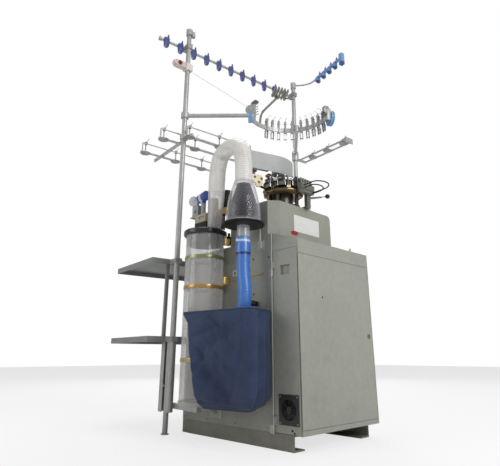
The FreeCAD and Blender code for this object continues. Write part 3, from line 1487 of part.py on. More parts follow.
def tension_bank():
    """Four light-blue disc tensioners on a bar that curves out from the right mast's cap."""
    mast = stand_point(0, mast_gap, bank_z - 12)
    points = [mast, (mast[0] + 48, mast[1] + 44, bank_z - 12), (mast[0] + 104, mast[1] + 76, bank_z - 6),
              (mast[0] + 160, mast[1] + 66, bank_z)]
    stem = cord_body(points, 6, 8)
    start = V(*points[-1])
    end = V(186, 470, bank_z)
    u = (end - start).normalize()
    a = degrees(atan2(u.y, u.x))
    bar = box(-7, (end - start).Length, -6, 6, -8, 8)
    plates = []
    for k in range(4):
        s = 12 + k * 62
        body = box(s, s + 22, -9, 9, -44, 8)
        lip = box(s + 2, s + 20, -24, -9, -40, -34)
        fin = prism([(s + 4, 5, 8), (s + 34, 5, 8), (s + 22, 5, 44)], (0, 4, 0))
        hook = wire((s + 22, 7, 30), (s - 18, 30, 52), 1.8, 4)
        tip = wire((s - 18, 30, 52), (s - 24, 34, 68), 1.8, 4)
        plates.append(fused([body, lip, fin, hook, tip]))
    tail = box((end - start).Length - 26, (end - start).Length, -12, 14, -52, 30)
    local = fused([bar, tail] + plates)
    local.rotate(V(0, 0, 0), UP, a)
    local.translate(start)
    whole = fused([stem, local])
    return whole.cut(collar_cut(mast_r + 5 + seat, 90, (mast[0], mast[1], bank_z - 50)))


def creel_rails():
    """Cone creels: three ladder rails on the left crossbar and one ladder on the right mast."""
    z = creel_z
    parts = [box(-392, -mast_r - seat, 14, 26, z + 6, z + 22), peg(mast_r + 9, 26, (0, 0, z + 1), UP, 12)]
    parts.append(box(-mast_r - 8, 62, 14, 26, z + 6, z + 22))
    for x, y0, y1 in ((-292, -120, 400), (-62, -120, 400), (52, -18, 400)):
        parts.append(box(x - 9, x + 9, y0, y1, z, z + 6))
    bars = []
    for x, y0, y1 in ((-292, -120, 400), (-62, -120, 400), (52, -18, 400)):
        bars.append(box(x + 12, x + 17, y0, y1, z + peg_up - 6, z + peg_up))
        bars += [box(x + 9, x + 17, y, y + 6, z, z + peg_up - 5) for y in (y0, y1 - 6)]
    left = fused(parts + bars).cut(collar_cut(mast_r + seat, 60, (0, 0, z - 20)))
    zr = right_creel_z
    y = mast_gap
    ladder = [peg(mast_r + 9, 30, (0, y, zr - 10), UP, 12), box(-8, 8, y + 12, y + 100, zr, zr + 12),
              box(-8, 412, y + 86, y + 96, zr, zr + 8), box(-8, 412, y + 30, y + 40, zr, zr + 8),
              box(412, 418, y + 30, y + 96, zr - 14, zr + 20)]
    for x in right_pegs:
        ladder.append(box(x - 6, x + 6, y + 40, y + 86, zr, zr + 6))
    right = fused(ladder).cut(collar_cut(mast_r + seat, 60, (0, y, zr - 20)))
    return group([left, right])


def cone_holder(x, y, z, rail_t, up):
    """Round foot under the rail; on the rail a peg with a tapered cup and a bent top."""
    foot = peg(30, 4, (x, y, z - 4), UP, 10)
    top = z + rail_t + up
    peg_bar = peg(3.5, up, (x, y, z + rail_t), UP, 4)
    cone = turned([(0, top - 1), (8, top - 1), (12, top + 14), (0, top + 17)], x, y, 8)
    bent = wire((x, y, top + 10), (x + 5, y + 16, top + 40), 3, 4)
    return [foot, fused([peg_bar, cone, bent])]


def cone_holders():
    made = []
    for x, ys in ((-292, (-92, 110, 300)), (-62, (-92, 110, 300)), (52, (6, 204, 372))):
        for y in ys:
            made += cone_holder(x, y, creel_z, 6, peg_up - 9)
    for x in right_pegs:
        made += cone_holder(x, mast_gap + 63, right_creel_z, 6, 8)
    return group(made)


def shelf(z):
    """Pressed tray, upside down, with a folded lip all round, cut back beside the cabinet."""
    edge = -cab_len / 2 - shelf_clear
    t = shelf_t
    tray = on_stand(box(shelf_x0, shelf_x1, shelf_y0, shelf_y1, z - shelf_lip, z))
    tray = tray.common(box(-2000, edge, -2000, 2000, 0, 2000))
    hollow = on_stand(box(shelf_x0 + t, shelf_x1 - t, shelf_y0 + t, shelf_y1 - t, z - shelf_lip, z - t))
    hollow = hollow.common(box(-2000, edge - t, -2000, 2000, 0, 2000))
    return tray.cut(hollow)


def upper_shelf():
    ring = on_stand(peg(9, 2, (shelf_x1, -44, shelf_top - 14), (1, 0, 0), 12))
    return shelf(shelf_top).fuse(ring).removeSplitter()


def shelf_brace(z):
    """Gusset under a shelf behind the left mast."""
    y = shelf_y0 + 40
    return on_stand(prism([(shelf_x1 - shelf_t, y, z - shelf_lip), (shelf_x1 - 240, y, z - shelf_t),
                           (shelf_x1 - shelf_t, y, z - shelf_t)], (0, 4, 0)))


def shelf_arm(z):
    """Long bracket from the right mast to the trimmed edge of a shelf."""
    far = -cab_len / 2 - shelf_clear
    y = mast_gap
    bar = on_stand(box(-190, mast_r + 8, y - 14, y + 14, z - 24, z - 6))
    bar = bar.common(box(far, 2000, -2000, 2000, 0, 3000))
    return bar.cut(on_stand(collar_cut(mast_r + seat, 60, (0, y, z - 50))))


# ---------------------------------------------------------------- routes
u_points = [(u_left, hose_y, u_low)]
u_mid = (u_left + u_right) / 2
u_turn = (u_right - u_left) / 2
u_cut = u_turn * tan(radians(22.5))
u_points += [(u_left, hose_y, u_bend + u_cut), (u_mid - u_cut, hose_y, u_bend + u_turn),
             (u_mid + u_cut, hose_y, u_bend + u_turn), (u_right, hose_y, u_bend + u_cut),
             (u_right, hose_y, u_low)]
blue_points = [(bell_x, hose_y, cuff_z0), (bell_x, hose_y, cuff_z0 - 94), (162, hose_y, 590),
               (134, hose_y, 478), (138, hose_y, 384)]


def main():
    save("base_skids", base_skids())
    save("cabinet_shell", cabinet_shell())
    save("top_cover", top_cover())
    save("side_hinges", side_hinges())
    save("front_door", front_door())
    save("door_lock", door_lock())
    save("side_door", side_door())
    save("fan_guard", fan_guard())
    save("fan_rotor", fan_rotor())
    save("upper_housing", upper_housing())
    save("bed_plate", bed_plate())
    save("cam_ring", cam_ring())
    save("needle_cylinder", needle_cylinder())
    save("needles", needles())
    save("dial", dial())
    save("dial_carrier", dial_carrier())
    save("head_shield", head_shield())
    save("feeder_bracket", group([feeder_bracket(), bracket_knob()]))
    save("feeder_fingers", group([feeder_fingers(), selector_blocks()]))
    save("spring_bank", spring_bank())
    save("lever_bracket", lever_bracket())
    save("lift_lever", lift_lever())
    save("drive_shaft", drive_shaft())
    save("main_motor", main_motor())
    save("motor_pulley", motor_pulley())
    save("drive_belt", drive_belt())
    for name, scale, drop in (("cable_outer", 1.0, 0.0), ("cable_inner", 0.72, 9.0)):
        points = cable_points(scale, drop)
        cable = cord_body(points, 3.0, 6)
        report_route(name, points, 3.0, 0.0, cable, 6)
        save(name, cable)
    hose = ribbed(u_points, u_r, u_r - u_wall - 2.0, u_ribs, 2.0)
    report_route("suction_hose", u_points, u_r - 1.0, u_r - u_wall - 2.0, hose, hose_sides)
    save("suction_hose", hose)
    hose = plain_hose(blue_points, blue_r, blue_bore)
    report_route("blue_hose", blue_points, blue_r, blue_bore, hose, hose_sides)
    save("blue_hose", hose)
    save("collector_tube", collector_tube())
    save("collector_bands", collector_bands())
    save("collector_lid", collector_lid())
    save("collector_pipe", collector_pipe())
    save("collector_base", collector_base())
    save("bell_cone", group([bell_cone(), drop_tube()]))
    save("bell_liner", bell_liner())
    save("bell_flange", bell_flange())
    save("bell_post", bell_post())
    save("hose_cuff", hose_cuff())
    save("sock_bag", sock_bag())
    save("bag_frame", bag_frame())
    save("filter_box", group([valve_foot(), filter_box()]))
    save("valve_unit", group([valve_unit(), brass_fittings()]))
    save("left_mast", on_stand(left_mast()))
    save("stand_foot", on_stand(group([stand_foot(), tie_arm()])))
    save("right_mast", on_stand(right_mast()))
    save("mast_clamps", mast_clamps())
    save("top_rail", on_stand(top_rail()))
    save("yarn_guides", on_stand(yarn_guides()))
    save("beacon_lamp", on_stand(beacon_lamp()))
    save("arc_rail", arc_rail())
    save("feeler_units", group([feeler_units(), finger_stack()]))
    save("arc_end_plates", arc_end_plates().cut(arc_rail()))
    save("tension_stack", tension_stack())
    save("tension_bank", tension_bank())
    save("creel_rails", on_stand(creel_rails()))
    save("cone_holders", on_stand(cone_holders()))
    save("upper_shelf", group([upper_shelf(), on_stand(upright())]))
    save("lower_shelf", shelf(shelf_low).fuse(shelf_brace(shelf_low)).removeSplitter())


main()
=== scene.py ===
import json
import math
import bmesh
import bpy
import numpy as np
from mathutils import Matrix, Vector

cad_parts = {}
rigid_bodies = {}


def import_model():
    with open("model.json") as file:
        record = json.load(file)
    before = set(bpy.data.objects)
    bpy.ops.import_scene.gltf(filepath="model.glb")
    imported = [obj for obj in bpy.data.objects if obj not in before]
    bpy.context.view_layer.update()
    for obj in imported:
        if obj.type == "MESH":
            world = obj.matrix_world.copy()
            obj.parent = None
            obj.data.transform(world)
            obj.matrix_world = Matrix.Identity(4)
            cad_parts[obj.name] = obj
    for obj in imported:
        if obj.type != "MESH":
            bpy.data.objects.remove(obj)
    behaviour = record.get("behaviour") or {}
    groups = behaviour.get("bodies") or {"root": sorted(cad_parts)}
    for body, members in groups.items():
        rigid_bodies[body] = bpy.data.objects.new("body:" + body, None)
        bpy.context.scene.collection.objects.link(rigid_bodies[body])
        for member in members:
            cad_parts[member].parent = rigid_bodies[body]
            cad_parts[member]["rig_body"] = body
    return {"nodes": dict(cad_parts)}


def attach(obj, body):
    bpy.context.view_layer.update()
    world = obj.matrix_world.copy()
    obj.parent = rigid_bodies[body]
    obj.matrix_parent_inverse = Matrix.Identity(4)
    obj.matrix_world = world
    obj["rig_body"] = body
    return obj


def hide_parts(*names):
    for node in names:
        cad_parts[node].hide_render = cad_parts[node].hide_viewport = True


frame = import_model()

for stray in [o for o in bpy.data.objects if "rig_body" not in o and not o.name.startswith("body:")]:
    bpy.data.objects.remove(stray)
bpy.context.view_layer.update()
nodes = frame["nodes"]

# ---------------------------------------------------------------- Camera
# The machine is seen from low down, off the corner between the front door and the work side,
# with the lens tilted upwards.
camera_data = bpy.data.cameras.new("camera")
camera_data.sensor_width = 36
camera_data.lens = 32.83
camera_data.shift_x = -0.0112
camera_data.shift_y = -0.0603
camera = bpy.data.objects.new("camera", camera_data)
bpy.context.scene.collection.objects.link(camera)
camera.location = (1.5838, -1.6973, 0.3467)
camera.rotation_euler = (math.radians(108.45), 0.0, math.radians(45.51))
bpy.context.scene.camera = camera
bpy.context.scene.view_settings.view_transform = "Standard"


# ---------------------------------------------------------------- Studio
# A pale floor and a pale surround, with large soft lamps: the brightest stands off the front
# door, so the work side lies in soft shade.
def add_node(tree, kind, inputs=None, **settings):
    """New node in a tree, with its settings, and its inputs set by value or linked from a socket."""
    made = tree.nodes.new(kind)
    for key, value in settings.items():
        setattr(made, key, value)
    for key, value in (inputs or {}).items():
        if isinstance(value, bpy.types.NodeSocket):
            tree.links.new(value, made.inputs[key])
        else:
            made.inputs[key].default_value = value
    return made


def maths(tree, operation, a, b, clamp=False):
    """Result of an operation on two values or sockets."""
    return add_node(tree, "ShaderNodeMath", {0: a, 1: b}, operation=operation, use_clamp=clamp).outputs[0]


def mapped(tree, value, to_low, to_high, low=0.0, high=1.0):
    """Value brought from one range, 0 to 1 unless it is given, to another."""
    return add_node(tree, "ShaderNodeMapRange", {"Value": value, "From Min": low, "From Max": high,
                                                 "To Min": to_low, "To Max": to_high}).outputs[0]


def blank_material(name):
    """New material with no nodes in it, and its node tree."""
    made = bpy.data.materials.new(name)
    made.use_nodes = True
    made.node_tree.nodes.clear()
    return made, made.node_tree


def placed(name, data):
    """New object of a mesh, a curve or a lamp, put in the scene."""
    made = bpy.data.objects.new(name, data)
    bpy.context.scene.collection.objects.link(made)
    return made


def softbox(name, place, aim, size, watts):
    """Square lamp of a size in metres, at a place and turned to face a point."""
    lamp = bpy.data.lights.new(name, "AREA")
    lamp.shape = "SQUARE"
    lamp.size = size
    lamp.energy = watts
    holder = placed(name, lamp)
    holder.location = place
    holder.rotation_euler = (Vector(aim) - Vector(place)).to_track_quat("-Z", "Y").to_euler()


softbox("key", (4.2, -0.5, 2.9), (0.0, -0.1, 0.9), 2.4, 104)
softbox("overhead", (-0.3, 0.3, 5.2), (0.0, 0.0, 1.0), 3.2, 92)
softbox("work_side", (-1.8, -4.6, 2.2), (0.0, -0.2, 1.0), 2.4, 40)
softbox("rear", (-3.6, 3.4, 2.6), (0.0, 0.2, 1.0), 2.6, 90)

world = bpy.data.worlds.new("surround")
bpy.context.scene.world = world
world.use_nodes = True
tree = world.node_tree
tree.nodes.clear()
rays = add_node(tree, "ShaderNodeLightPath").outputs
seen = maths(tree, "MAXIMUM", rays["Is Camera Ray"], rays["Is Transmission Ray"])
level = mapped(tree, seen, 0.24, 1.0)
gloss = maths(tree, "MULTIPLY", rays["Is Glossy Ray"], 0.55)
strength = maths(tree, "MAXIMUM", level, gloss)
sky = add_node(tree, "ShaderNodeBackground", {"Color": (1.0, 1.0, 1.0, 1.0), "Strength": strength})
add_node(tree, "ShaderNodeOutputWorld", {"Surface": sky.outputs[0]})

reach = 14.0
floor_mesh = bpy.data.meshes.new("floor")
floor_mesh.from_pydata([(-reach, -reach, 0), (reach, -reach, 0), (reach, reach, 0), (-reach, reach, 0)], [],
                       [(0, 1, 2, 3)])
floor = placed("floor", floor_mesh)
pale, tree = blank_material("pale_floor")
coords = add_node(tree, "ShaderNodeTexCoord")
cloud = add_node(tree, "ShaderNodeTexNoise", {"Vector": coords.outputs["Object"], "Scale": 3.0,
                                              "Detail": 4.0})
tint = mapped(tree, cloud.outputs["Fac"], 0.86, 0.92)
matt = add_node(tree, "ShaderNodeBsdfDiffuse", {"Color": tint})
glow = add_node(tree, "ShaderNodeEmission", {"Color": (1.0, 1.0, 1.0, 1.0), "Strength": 1.0})
rays = add_node(tree, "ShaderNodeLightPath").outputs
share = maths(tree, "MULTIPLY", rays["Is Camera Ray"], 0.72)
mixed = add_node(tree, "ShaderNodeMixShader", {0: share, 1: matt.outputs[0], 2: glow.outputs[0]})
add_node(tree, "ShaderNodeOutputMaterial", {"Surface": mixed.outputs[0]})
floor_mesh.materials.append(pale)

# ---------------------------------------------------------------- Skids and cabinet
# Welded cabinet of folded sheet on two channel skids, sprayed with one warm grey paint that has
# a fine orange-peel skin, faint clouds of dust and soiling that gathers near the floor.


def sockets(tree, inputs, outputs):
    """Named inputs and outputs for a node group, and its two end nodes."""
    for name, kind, value in inputs:
        tree.interface.new_socket(name, in_out="INPUT", socket_type=kind).default_value = value
    for name, kind in outputs:
        tree.interface.new_socket(name, in_out="OUTPUT", socket_type=kind)
    return tree.nodes.new("NodeGroupInput"), tree.nodes.new("NodeGroupOutput")


def scaled(tree, colour, factor):
    """Colour or vector times a factor."""
    return add_node(tree, "ShaderNodeVectorMath", {0: colour, 3: factor}, operation="SCALE").outputs[0]


def weathering_group():
    """Node group: cloudy soiling, stronger near the floor, and a slight change of tone over a
    colour, with a mask of the wear and a fine height for the skin."""
    tree = bpy.data.node_groups.new("weathering", "ShaderNodeTree")
    start, end = sockets(tree, [("Colour", "NodeSocketColor", (0.5, 0.5, 0.5, 1)),
                                ("Soil", "NodeSocketColor", (0.2, 0.18, 0.15, 1)),
                                ("Amount", "NodeSocketFloat", 0.2), ("Scale", "NodeSocketFloat", 4.0),
                                ("Grain", "NodeSocketFloat", 600.0)],
                         [("Colour", "NodeSocketColor"), ("Wear", "NodeSocketFloat"),
                          ("Height", "NodeSocketFloat")])
    coords = add_node(tree, "ShaderNodeTexCoord").outputs["Object"]
    cloud = add_node(tree, "ShaderNodeTexNoise", {"Vector": coords, "Scale": start.outputs["Scale"],
                                                  "Detail": 7.0, "Roughness": 0.62})
    patch = mapped(tree, cloud.outputs["Fac"], 0.0, 1.0, 0.42, 0.74)
    height = add_node(tree, "ShaderNodeSeparateXYZ", {0: coords}).outputs["Z"]
    low = mapped(tree, height, 0.55, 0.0, 0.0, 0.4)
    soil = maths(tree, "MULTIPLY", maths(tree, "ADD", patch, low), start.outputs["Amount"], clamp=True)
    speck_scale = maths(tree, "MULTIPLY", start.outputs["Scale"], 17.0)
    speck = add_node(tree, "ShaderNodeTexNoise", {"Vector": coords, "Scale": speck_scale, "Detail": 4.0})
    tone = mapped(tree, speck.outputs["Fac"], 0.95, 1.05, 0.3, 0.7)
    soiled = add_node(tree, "ShaderNodeMix", {"Factor": soil, 6: start.outputs["Colour"],
                                              7: start.outputs["Soil"]}, data_type="RGBA")
    toned = scaled(tree, soiled.outputs[2], tone)
    skin = add_node(tree, "ShaderNodeTexNoise", {"Vector": coords, "Scale": start.outputs["Grain"],
                                                 "Detail": 2.0})
    tree.links.new(toned, end.inputs["Colour"])
    tree.links.new(patch, end.inputs["Wear"])
    tree.links.new(skin.outputs["Fac"], end.inputs["Height"])
    return tree


def brushing_group():
    """Node group: fine parallel streaks, made of noise stretched by a vector."""
    tree = bpy.data.node_groups.new("brushing", "ShaderNodeTree")
    start, end = sockets(tree, [("Stretch", "NodeSocketVector", (1, 1, 40))], [("Streak", "NodeSocketFloat")])
    coords = add_node(tree, "ShaderNodeTexCoord").outputs["Object"]
    drawn = add_node(tree, "ShaderNodeVectorMath", {0: coords, 1: start.outputs["Stretch"]},
                     operation="MULTIPLY")
    noise = add_node(tree, "ShaderNodeTexNoise", {"Vector": drawn.outputs[0], "Scale": 1.0, "Detail": 5.0})
    tree.links.new(noise.outputs["Fac"], end.inputs["Streak"])
    return tree


def in_box_group():
    """Node group: 1 inside a box between two corners, and 0 outside it."""
    tree = bpy.data.node_groups.new("in_box", "ShaderNodeTree")
    start, end = sockets(tree, [("Low", "NodeSocketVector", (0, 0, 0)),
                                ("High", "NodeSocketVector", (1, 1, 1))],
                         [("Inside", "NodeSocketFloat")])
    coords = add_node(tree, "ShaderNodeTexCoord").outputs["Object"]
    above = add_node(tree, "ShaderNodeVectorMath", {0: coords, 1: start.outputs["Low"]}, operation="MAXIMUM")
    held = add_node(tree, "ShaderNodeVectorMath", {0: above.outputs[0], 1: start.outputs["High"]},
                    operation="MINIMUM")
    off = add_node(tree, "ShaderNodeVectorMath", {0: held.outputs[0], 1: coords}, operation="DISTANCE")
    tree.links.new(maths(tree, "LESS_THAN", off.outputs["Value"], 0.0002), end.inputs["Inside"])
    return tree


weathering = weathering_group()
brushing = brushing_group()
in_box = in_box_group()
soil_brown = (0.11, 0.095, 0.075, 1)


def linear(r, g, b):
    """Linear colour of a shade given as 0 to 255 on screen."""
    return tuple((c / 255 / 12.92) if c <= 10 else ((c / 255 + 0.055) / 1.055) ** 2.4
                 for c in (r, g, b)) + (1.0,)


def zone_mask(tree, low, high):
    """Mask socket of the box between two corners, given in metres."""
    return add_node(tree, "ShaderNodeGroup", {"Low": low, "High": high}, node_tree=in_box).outputs["Inside"]


def close_material(tree, inputs, fixed):
    """One principled shader at a material's end, with its linked inputs and its fixed ones by name."""
    fixed = {key.replace("_", " "): value for key, value in fixed.items()}
    shader = add_node(tree, "ShaderNodeBsdfPrincipled", {**inputs, **fixed})
    add_node(tree, "ShaderNodeOutputMaterial", {"Surface": shader.outputs[0]})


def finish(name, colour, rough=0.45, spread=0.12, soil=0.2, scale=4.0, grain=600.0, bump=0.12,
           metal=0.0, streak=None, soil_colour=soil_brown, zones=(), **fixed):
    """Opaque material: weathered colour, roughness that follows the wear, and a fine bump.
    With a streak vector, brushed lines change the roughness and the tone as well. Zones are boxes
    of another colour, for the parts of a piece that are dyed or coated on their own."""
    made, tree = blank_material(name)
    worn = add_node(tree, "ShaderNodeGroup", {"Colour": colour, "Soil": soil_colour, "Amount": soil,
                                              "Scale": scale, "Grain": grain}, node_tree=weathering)
    for k, (low, high, other) in enumerate(zones):
        part = add_node(tree, "ShaderNodeMix", {"Factor": zone_mask(tree, low, high), 6: colour, 7: other},
                        data_type="RGBA")
        if k:
            tree.links.new(dyed, part.inputs[6])
        dyed = part.outputs[2]
        tree.links.new(dyed, worn.inputs["Colour"])
    base = worn.outputs["Colour"]
    mask = worn.outputs["Wear"]
    height = worn.outputs["Height"]
    if streak:
        lines = add_node(tree, "ShaderNodeGroup", {"Stretch": streak}, node_tree=brushing)
        height = lines.outputs["Streak"]
        base = scaled(tree, base, mapped(tree, height, 0.82, 1.14, 0.25, 0.75))
        mask = maths(tree, "ADD", mask, height)
    roughness = mapped(tree, mask, rough, rough + spread)
    bumped = add_node(tree, "ShaderNodeBump", {"Height": height, "Strength": bump, "Distance": 0.0006})
    close_material(tree, {"Base Color": base, "Roughness": roughness, "Normal": bumped.outputs[0],
                          "Metallic": metal}, fixed)
    return made


def rounding_group():
    """Geometry group: joins the loose triangles, and shades smooth across edges flatter than an angle."""
    tree = bpy.data.node_groups.new("soft_shading", "GeometryNodeTree")
    tree.interface.new_socket("Geometry", in_out="INPUT", socket_type="NodeSocketGeometry")
    tree.interface.new_socket("Angle", in_out="INPUT", socket_type="NodeSocketFloat").default_value = 0.56
    tree.interface.new_socket("Geometry", in_out="OUTPUT", socket_type="NodeSocketGeometry")
    start = tree.nodes.new("NodeGroupInput")
    end = tree.nodes.new("NodeGroupOutput")
    plain = add_node(tree, "GeometryNodeRemoveAttribute", {"Geometry": start.outputs["Geometry"],
                                                           "Name": "custom_normal"})
    joined = add_node(tree, "GeometryNodeMergeByDistance", {"Geometry": plain.outputs[0],
                                                            "Distance": 0.00001})
    smooth = add_node(tree, "GeometryNodeSetShadeSmooth", {"Geometry": joined.outputs[0]}, domain="FACE")
    angle = add_node(tree, "GeometryNodeInputMeshEdgeAngle")
    sharp = add_node(tree, "FunctionNodeCompare", {0: angle.outputs["Unsigned Angle"],
                                                   1: start.outputs["Angle"]},
                     data_type="FLOAT", operation="GREATER_THAN")
    creased = add_node(tree, "GeometryNodeSetShadeSmooth", {"Geometry": smooth.outputs[0],
                                                            "Selection": sharp.outputs[0],
                                                            "Shade Smooth": False}, domain="EDGE")
    tree.links.new(creased.outputs[0], end.inputs["Geometry"])
    return tree


rounding = rounding_group()


def dress(material, *names, angle=32.0, edge=0.0):
    """Gives CAD nodes their material, with smooth shading across edges flatter than an angle, and
    where edge is given, folds rounded to that width."""
    for name in names:
        node = nodes[name]
        for socket in node.material_slots:
            socket.material = material
        soft = node.modifiers.new("soft_shading", "NODES")
        soft.node_group = rounding
        soft[rounding.interface.items_tree["Angle"].identifier] = math.radians(angle)
        if edge:
            fold = node.modifiers.new("folds", "BEVEL")
            fold.width = edge
            fold.segments = 2
            fold.limit_method = "ANGLE"
            fold.angle_limit = math.radians(40)
            fold.harden_normals = True


cabinet_grey = linear(163, 164, 154)
cabinet_paint = finish("cabinet_paint", cabinet_grey, rough=0.42, soil=0.16, scale=2.4, grain=420, bump=0.10)
skid_paint = finish("skid_paint", linear(150, 150, 138), rough=0.5, soil=0.5, scale=5.0, grain=380, bump=0.2)
dress(skid_paint, "base_skids", edge=0.0016)
dress(cabinet_paint, "cabinet_shell", "top_cover", "front_door", "side_door", edge=0.0011)


def lofted(name, rings, material, body="machine", loop=False, angle=35.0):
    """New piece from rings of points in an array (copies, rings, points, 3): each ring joins the
    next, the last point of a ring joins its first, and the ends are closed flat or joined round. It
    rides on the machine where no other body is named."""
    rings = np.asarray(rings, float)
    if rings.ndim == 3:
        rings = rings[None]
    copies, n, m = rings.shape[:3]
    i, j = np.meshgrid(np.arange(n if loop else n - 1), np.arange(m), indexing="ij")
    quads = np.stack([i * m + j, i * m + (j + 1) % m, (i + 1) % n * m + (j + 1) % m, (i + 1) % n * m + j], -1)
    shift = np.arange(copies)[:, None, None] * n * m
    faces = (quads.reshape(1, -1, 4) + shift).reshape(-1, 4).tolist()
    if not loop:
        ends = np.stack([np.arange(m)[::-1], np.arange(m) + (n - 1) * m])
        faces += (ends[None] + shift).reshape(-1, m).tolist()
    mesh = bpy.data.meshes.new(name)
    mesh.from_pydata(rings.reshape(-1, 3).tolist(), [], faces)
    shell = bmesh.new()
    shell.from_mesh(mesh)
    bmesh.ops.recalc_face_normals(shell, faces=shell.faces)
    shell.to_mesh(mesh)
    shell.free()
    mesh.polygons.foreach_set("use_smooth", np.ones(len(mesh.polygons), bool))
    mesh.set_sharp_from_angle(angle=math.radians(angle))
    mesh.materials.append(material)
    made = placed(name, mesh)
    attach(made, body)
    return made


def frame_round(axis):
    """Two unit vectors square to an axis and to each other."""
    axis = np.asarray(axis, float) / np.linalg.norm(axis)
    helper = np.array([0.0, 0.0, 1.0]) if abs(axis[2]) < 0.9 else np.array([1.0, 0.0, 0.0])
    u = np.cross(axis, helper)
    u /= np.linalg.norm(u)
    return axis, u, np.cross(axis, u)


def turned(profile, places, axis=(0, 0, 1), sides=24):
    """Rings of a turned form: radius and height pairs about an axis, repeated at every place.
    A ring's point is the place, plus the height along the axis, plus the radius times cosine and
    sine round it."""
    axis, u, w = frame_round(axis)
    profile = np.asarray(profile, float)
    a = np.arange(sides) * 2 * np.pi / sides
    spoke = np.cos(a)[:, None] * u + np.sin(a)[:, None] * w
    form = profile[:, 1, None, None] * axis + np.maximum(profile[:, 0, None, None], 1e-5) * spoke
    return np.atleast_2d(places)[:, None, None, :] + form[None]


def domed(r, h):
    """Profile of a domed screw head: a short straight rim, then a quarter wave to the middle."""
    t = np.linspace(0, np.pi / 2, 4)
    return [(r, 0.0)] + [(r * math.cos(x) ** 0.6, h * 0.35 + h * 0.65 * math.sin(x)) for x in t]


def slab(low, high, axis, outline, bevel):
    """Rings of a flat plate: an outline in the plane square to an axis (0 for X, 1 for Y, 2 for Z),
    between two heights, with its edges broken by a bevel."""
    outline = np.asarray(outline, float)
    middle = outline.mean(0)
    inner = middle + (outline - middle) * (1 - bevel / np.abs(outline - middle).max())
    others = [k for k in (0, 1, 2) if k != axis]
    rings = np.zeros((4, len(outline), 3))
    heights = (low, low + (high - low) * 0.02, high - math.copysign(bevel, high - low), high)
    rings[:, :, others] = np.stack([outline, outline, outline, inner])
    rings[:, :, axis] = np.array(heights)[:, None]
    return rings


def rounded(u0, u1, w0, w1, r, steps=5):
    """Rectangle with round corners: a quarter circle of points at each corner in turn."""
    a = np.linspace(0, np.pi / 2, steps)
    arcs = []
    for k, (cu, cw) in enumerate(((u1 - r, w1 - r), (u0 + r, w1 - r), (u0 + r, w0 + r), (u1 - r, w0 + r))):
        arcs.append(np.stack([cu + r * np.cos(a + k * np.pi / 2), cw + r * np.sin(a + k * np.pi / 2)], -1))
    return np.concatenate(arcs)


# A folded cap closes the end of the front skid, flush with the cabinet's corner.
lofted("skid_cap", slab(-0.3290, -0.3745, 0, rounded(-0.2626, -0.2190, 0.0006, 0.0583, 0.002, 3), 0.001),
       skid_paint)

# Raised screw heads hold the plinth, the hood and the door frame. The cabinet's outer faces on the
# work side and at the rear are the same distance from its middle.
screw_steel = finish("screw_steel", linear(150, 150, 146), rough=0.32, soil=0.3, scale=60, metal=0.9,
                     bump=0.05)
wall = -0.2627
plinth_z, hood_z = 0.072, 0.797
screws = [(x, wall, plinth_z) for x in (-0.36, -0.19, 0.0, 0.19)]
screws += [(x, wall, hood_z) for x in (-0.36, -0.12, 0.12, 0.34)]
screw_head = domed(0.0042, 0.0022)
lofted("wall_screws", turned(screw_head, screws, (0, -1, 0), 12), screw_steel)

# Bare screw holes, drawn as black discs that paint the shade inside them, and a small dark knob just above
# the bag's rim.
knob_black_hole_shade = finish("knob_black_hole_shade", linear(26, 26, 26), rough=0.5, soil=0.2, scale=60, bump=0.05)
front_holes = [(0.109, wall, 0.760), (0.206, wall, 0.757), (0.112, wall, 0.603), (0.333, wall, 0.0655)]
hole_wall = [(0.0, 0.0), (0.0038, 0.0), (0.0046, 0.0004), (0.0038, 0.0010), (0.0022, 0.0006), (0.0, 0.0004)]
lofted("wall_holes", turned(hole_wall, front_holes, (0, -1, 0), 12), knob_black_hole_shade)
lofted("door_hole", turned(hole_wall, [(0.375, -0.110, 0.580)], (1, 0, 0), 12), knob_black_hole_shade,
       body="front_door")
knob_form = [(0.0, 0.0), (0.011, 0.0), (0.011, 0.004), (0.007, 0.006), (0.007, 0.012), (0.0125, 0.014),
             (0.0135, 0.020), (0.012, 0.027), (0.007, 0.030), (0.0, 0.0305)]
lofted("wall_knob", turned(knob_form, [(0.128, wall, 0.561)], (0, -1, 0), 24), knob_black_hole_shade)
rear = [(x, -wall, z) for x in (-0.34, 0.0, 0.34) for z in (0.09, 0.43, 0.77)]
lofted("rear_screws", turned(screw_head, rear, (0, 1, 0), 12), screw_steel)

# ---------------------------------------------------------------- Hinges, lock and fan
# Zinc barrel hinges carry the narrow side door, a slotted quarter-turn lock holds the front door,
# and a black moulded axial fan sits low in the side door.
zinc = finish("zinc", linear(186, 188, 186), rough=0.36, soil=0.2, scale=9.0, grain=240, metal=0.35,
              bump=0.06)
dress(zinc, "side_hinges")


def rod(start, end, radius, edge, chamfer, sides):
    """Rings of a straight round bar between two points. Over the chamfer's length, its radius drops
    by the edge at both ends."""
    start = np.asarray(start, float)
    run = np.asarray(end, float) - start
    size = float(np.linalg.norm(run))
    form = [(0.0, 0.0), (radius - edge, 0.0), (radius, chamfer), (radius, size - chamfer),
            (radius - edge, size), (0.0, size)]
    return turned(form, [start], run, sides)


hinge_foot, hinge_top = (0.229, -0.268, 0.088), (0.229, -0.268, 0.858)
lofted("hinge_rod", rod(hinge_foot, hinge_top, 0.0022, 0.0004, 0.0005, 12), zinc)
lock_steel = finish("lock_steel", linear(150, 148, 140), rough=0.28, soil=0.15, scale=70, metal=0.9,
                    streak=(300, 300, 300), bump=0.06)
dress(lock_steel, "door_lock")
fan_black = finish("fan_black", linear(30, 30, 32), rough=0.5, soil=0.2, scale=30, grain=900, bump=0.15,
                   soil_colour=linear(80, 78, 72))
dress(fan_black, "fan_guard", "fan_rotor")

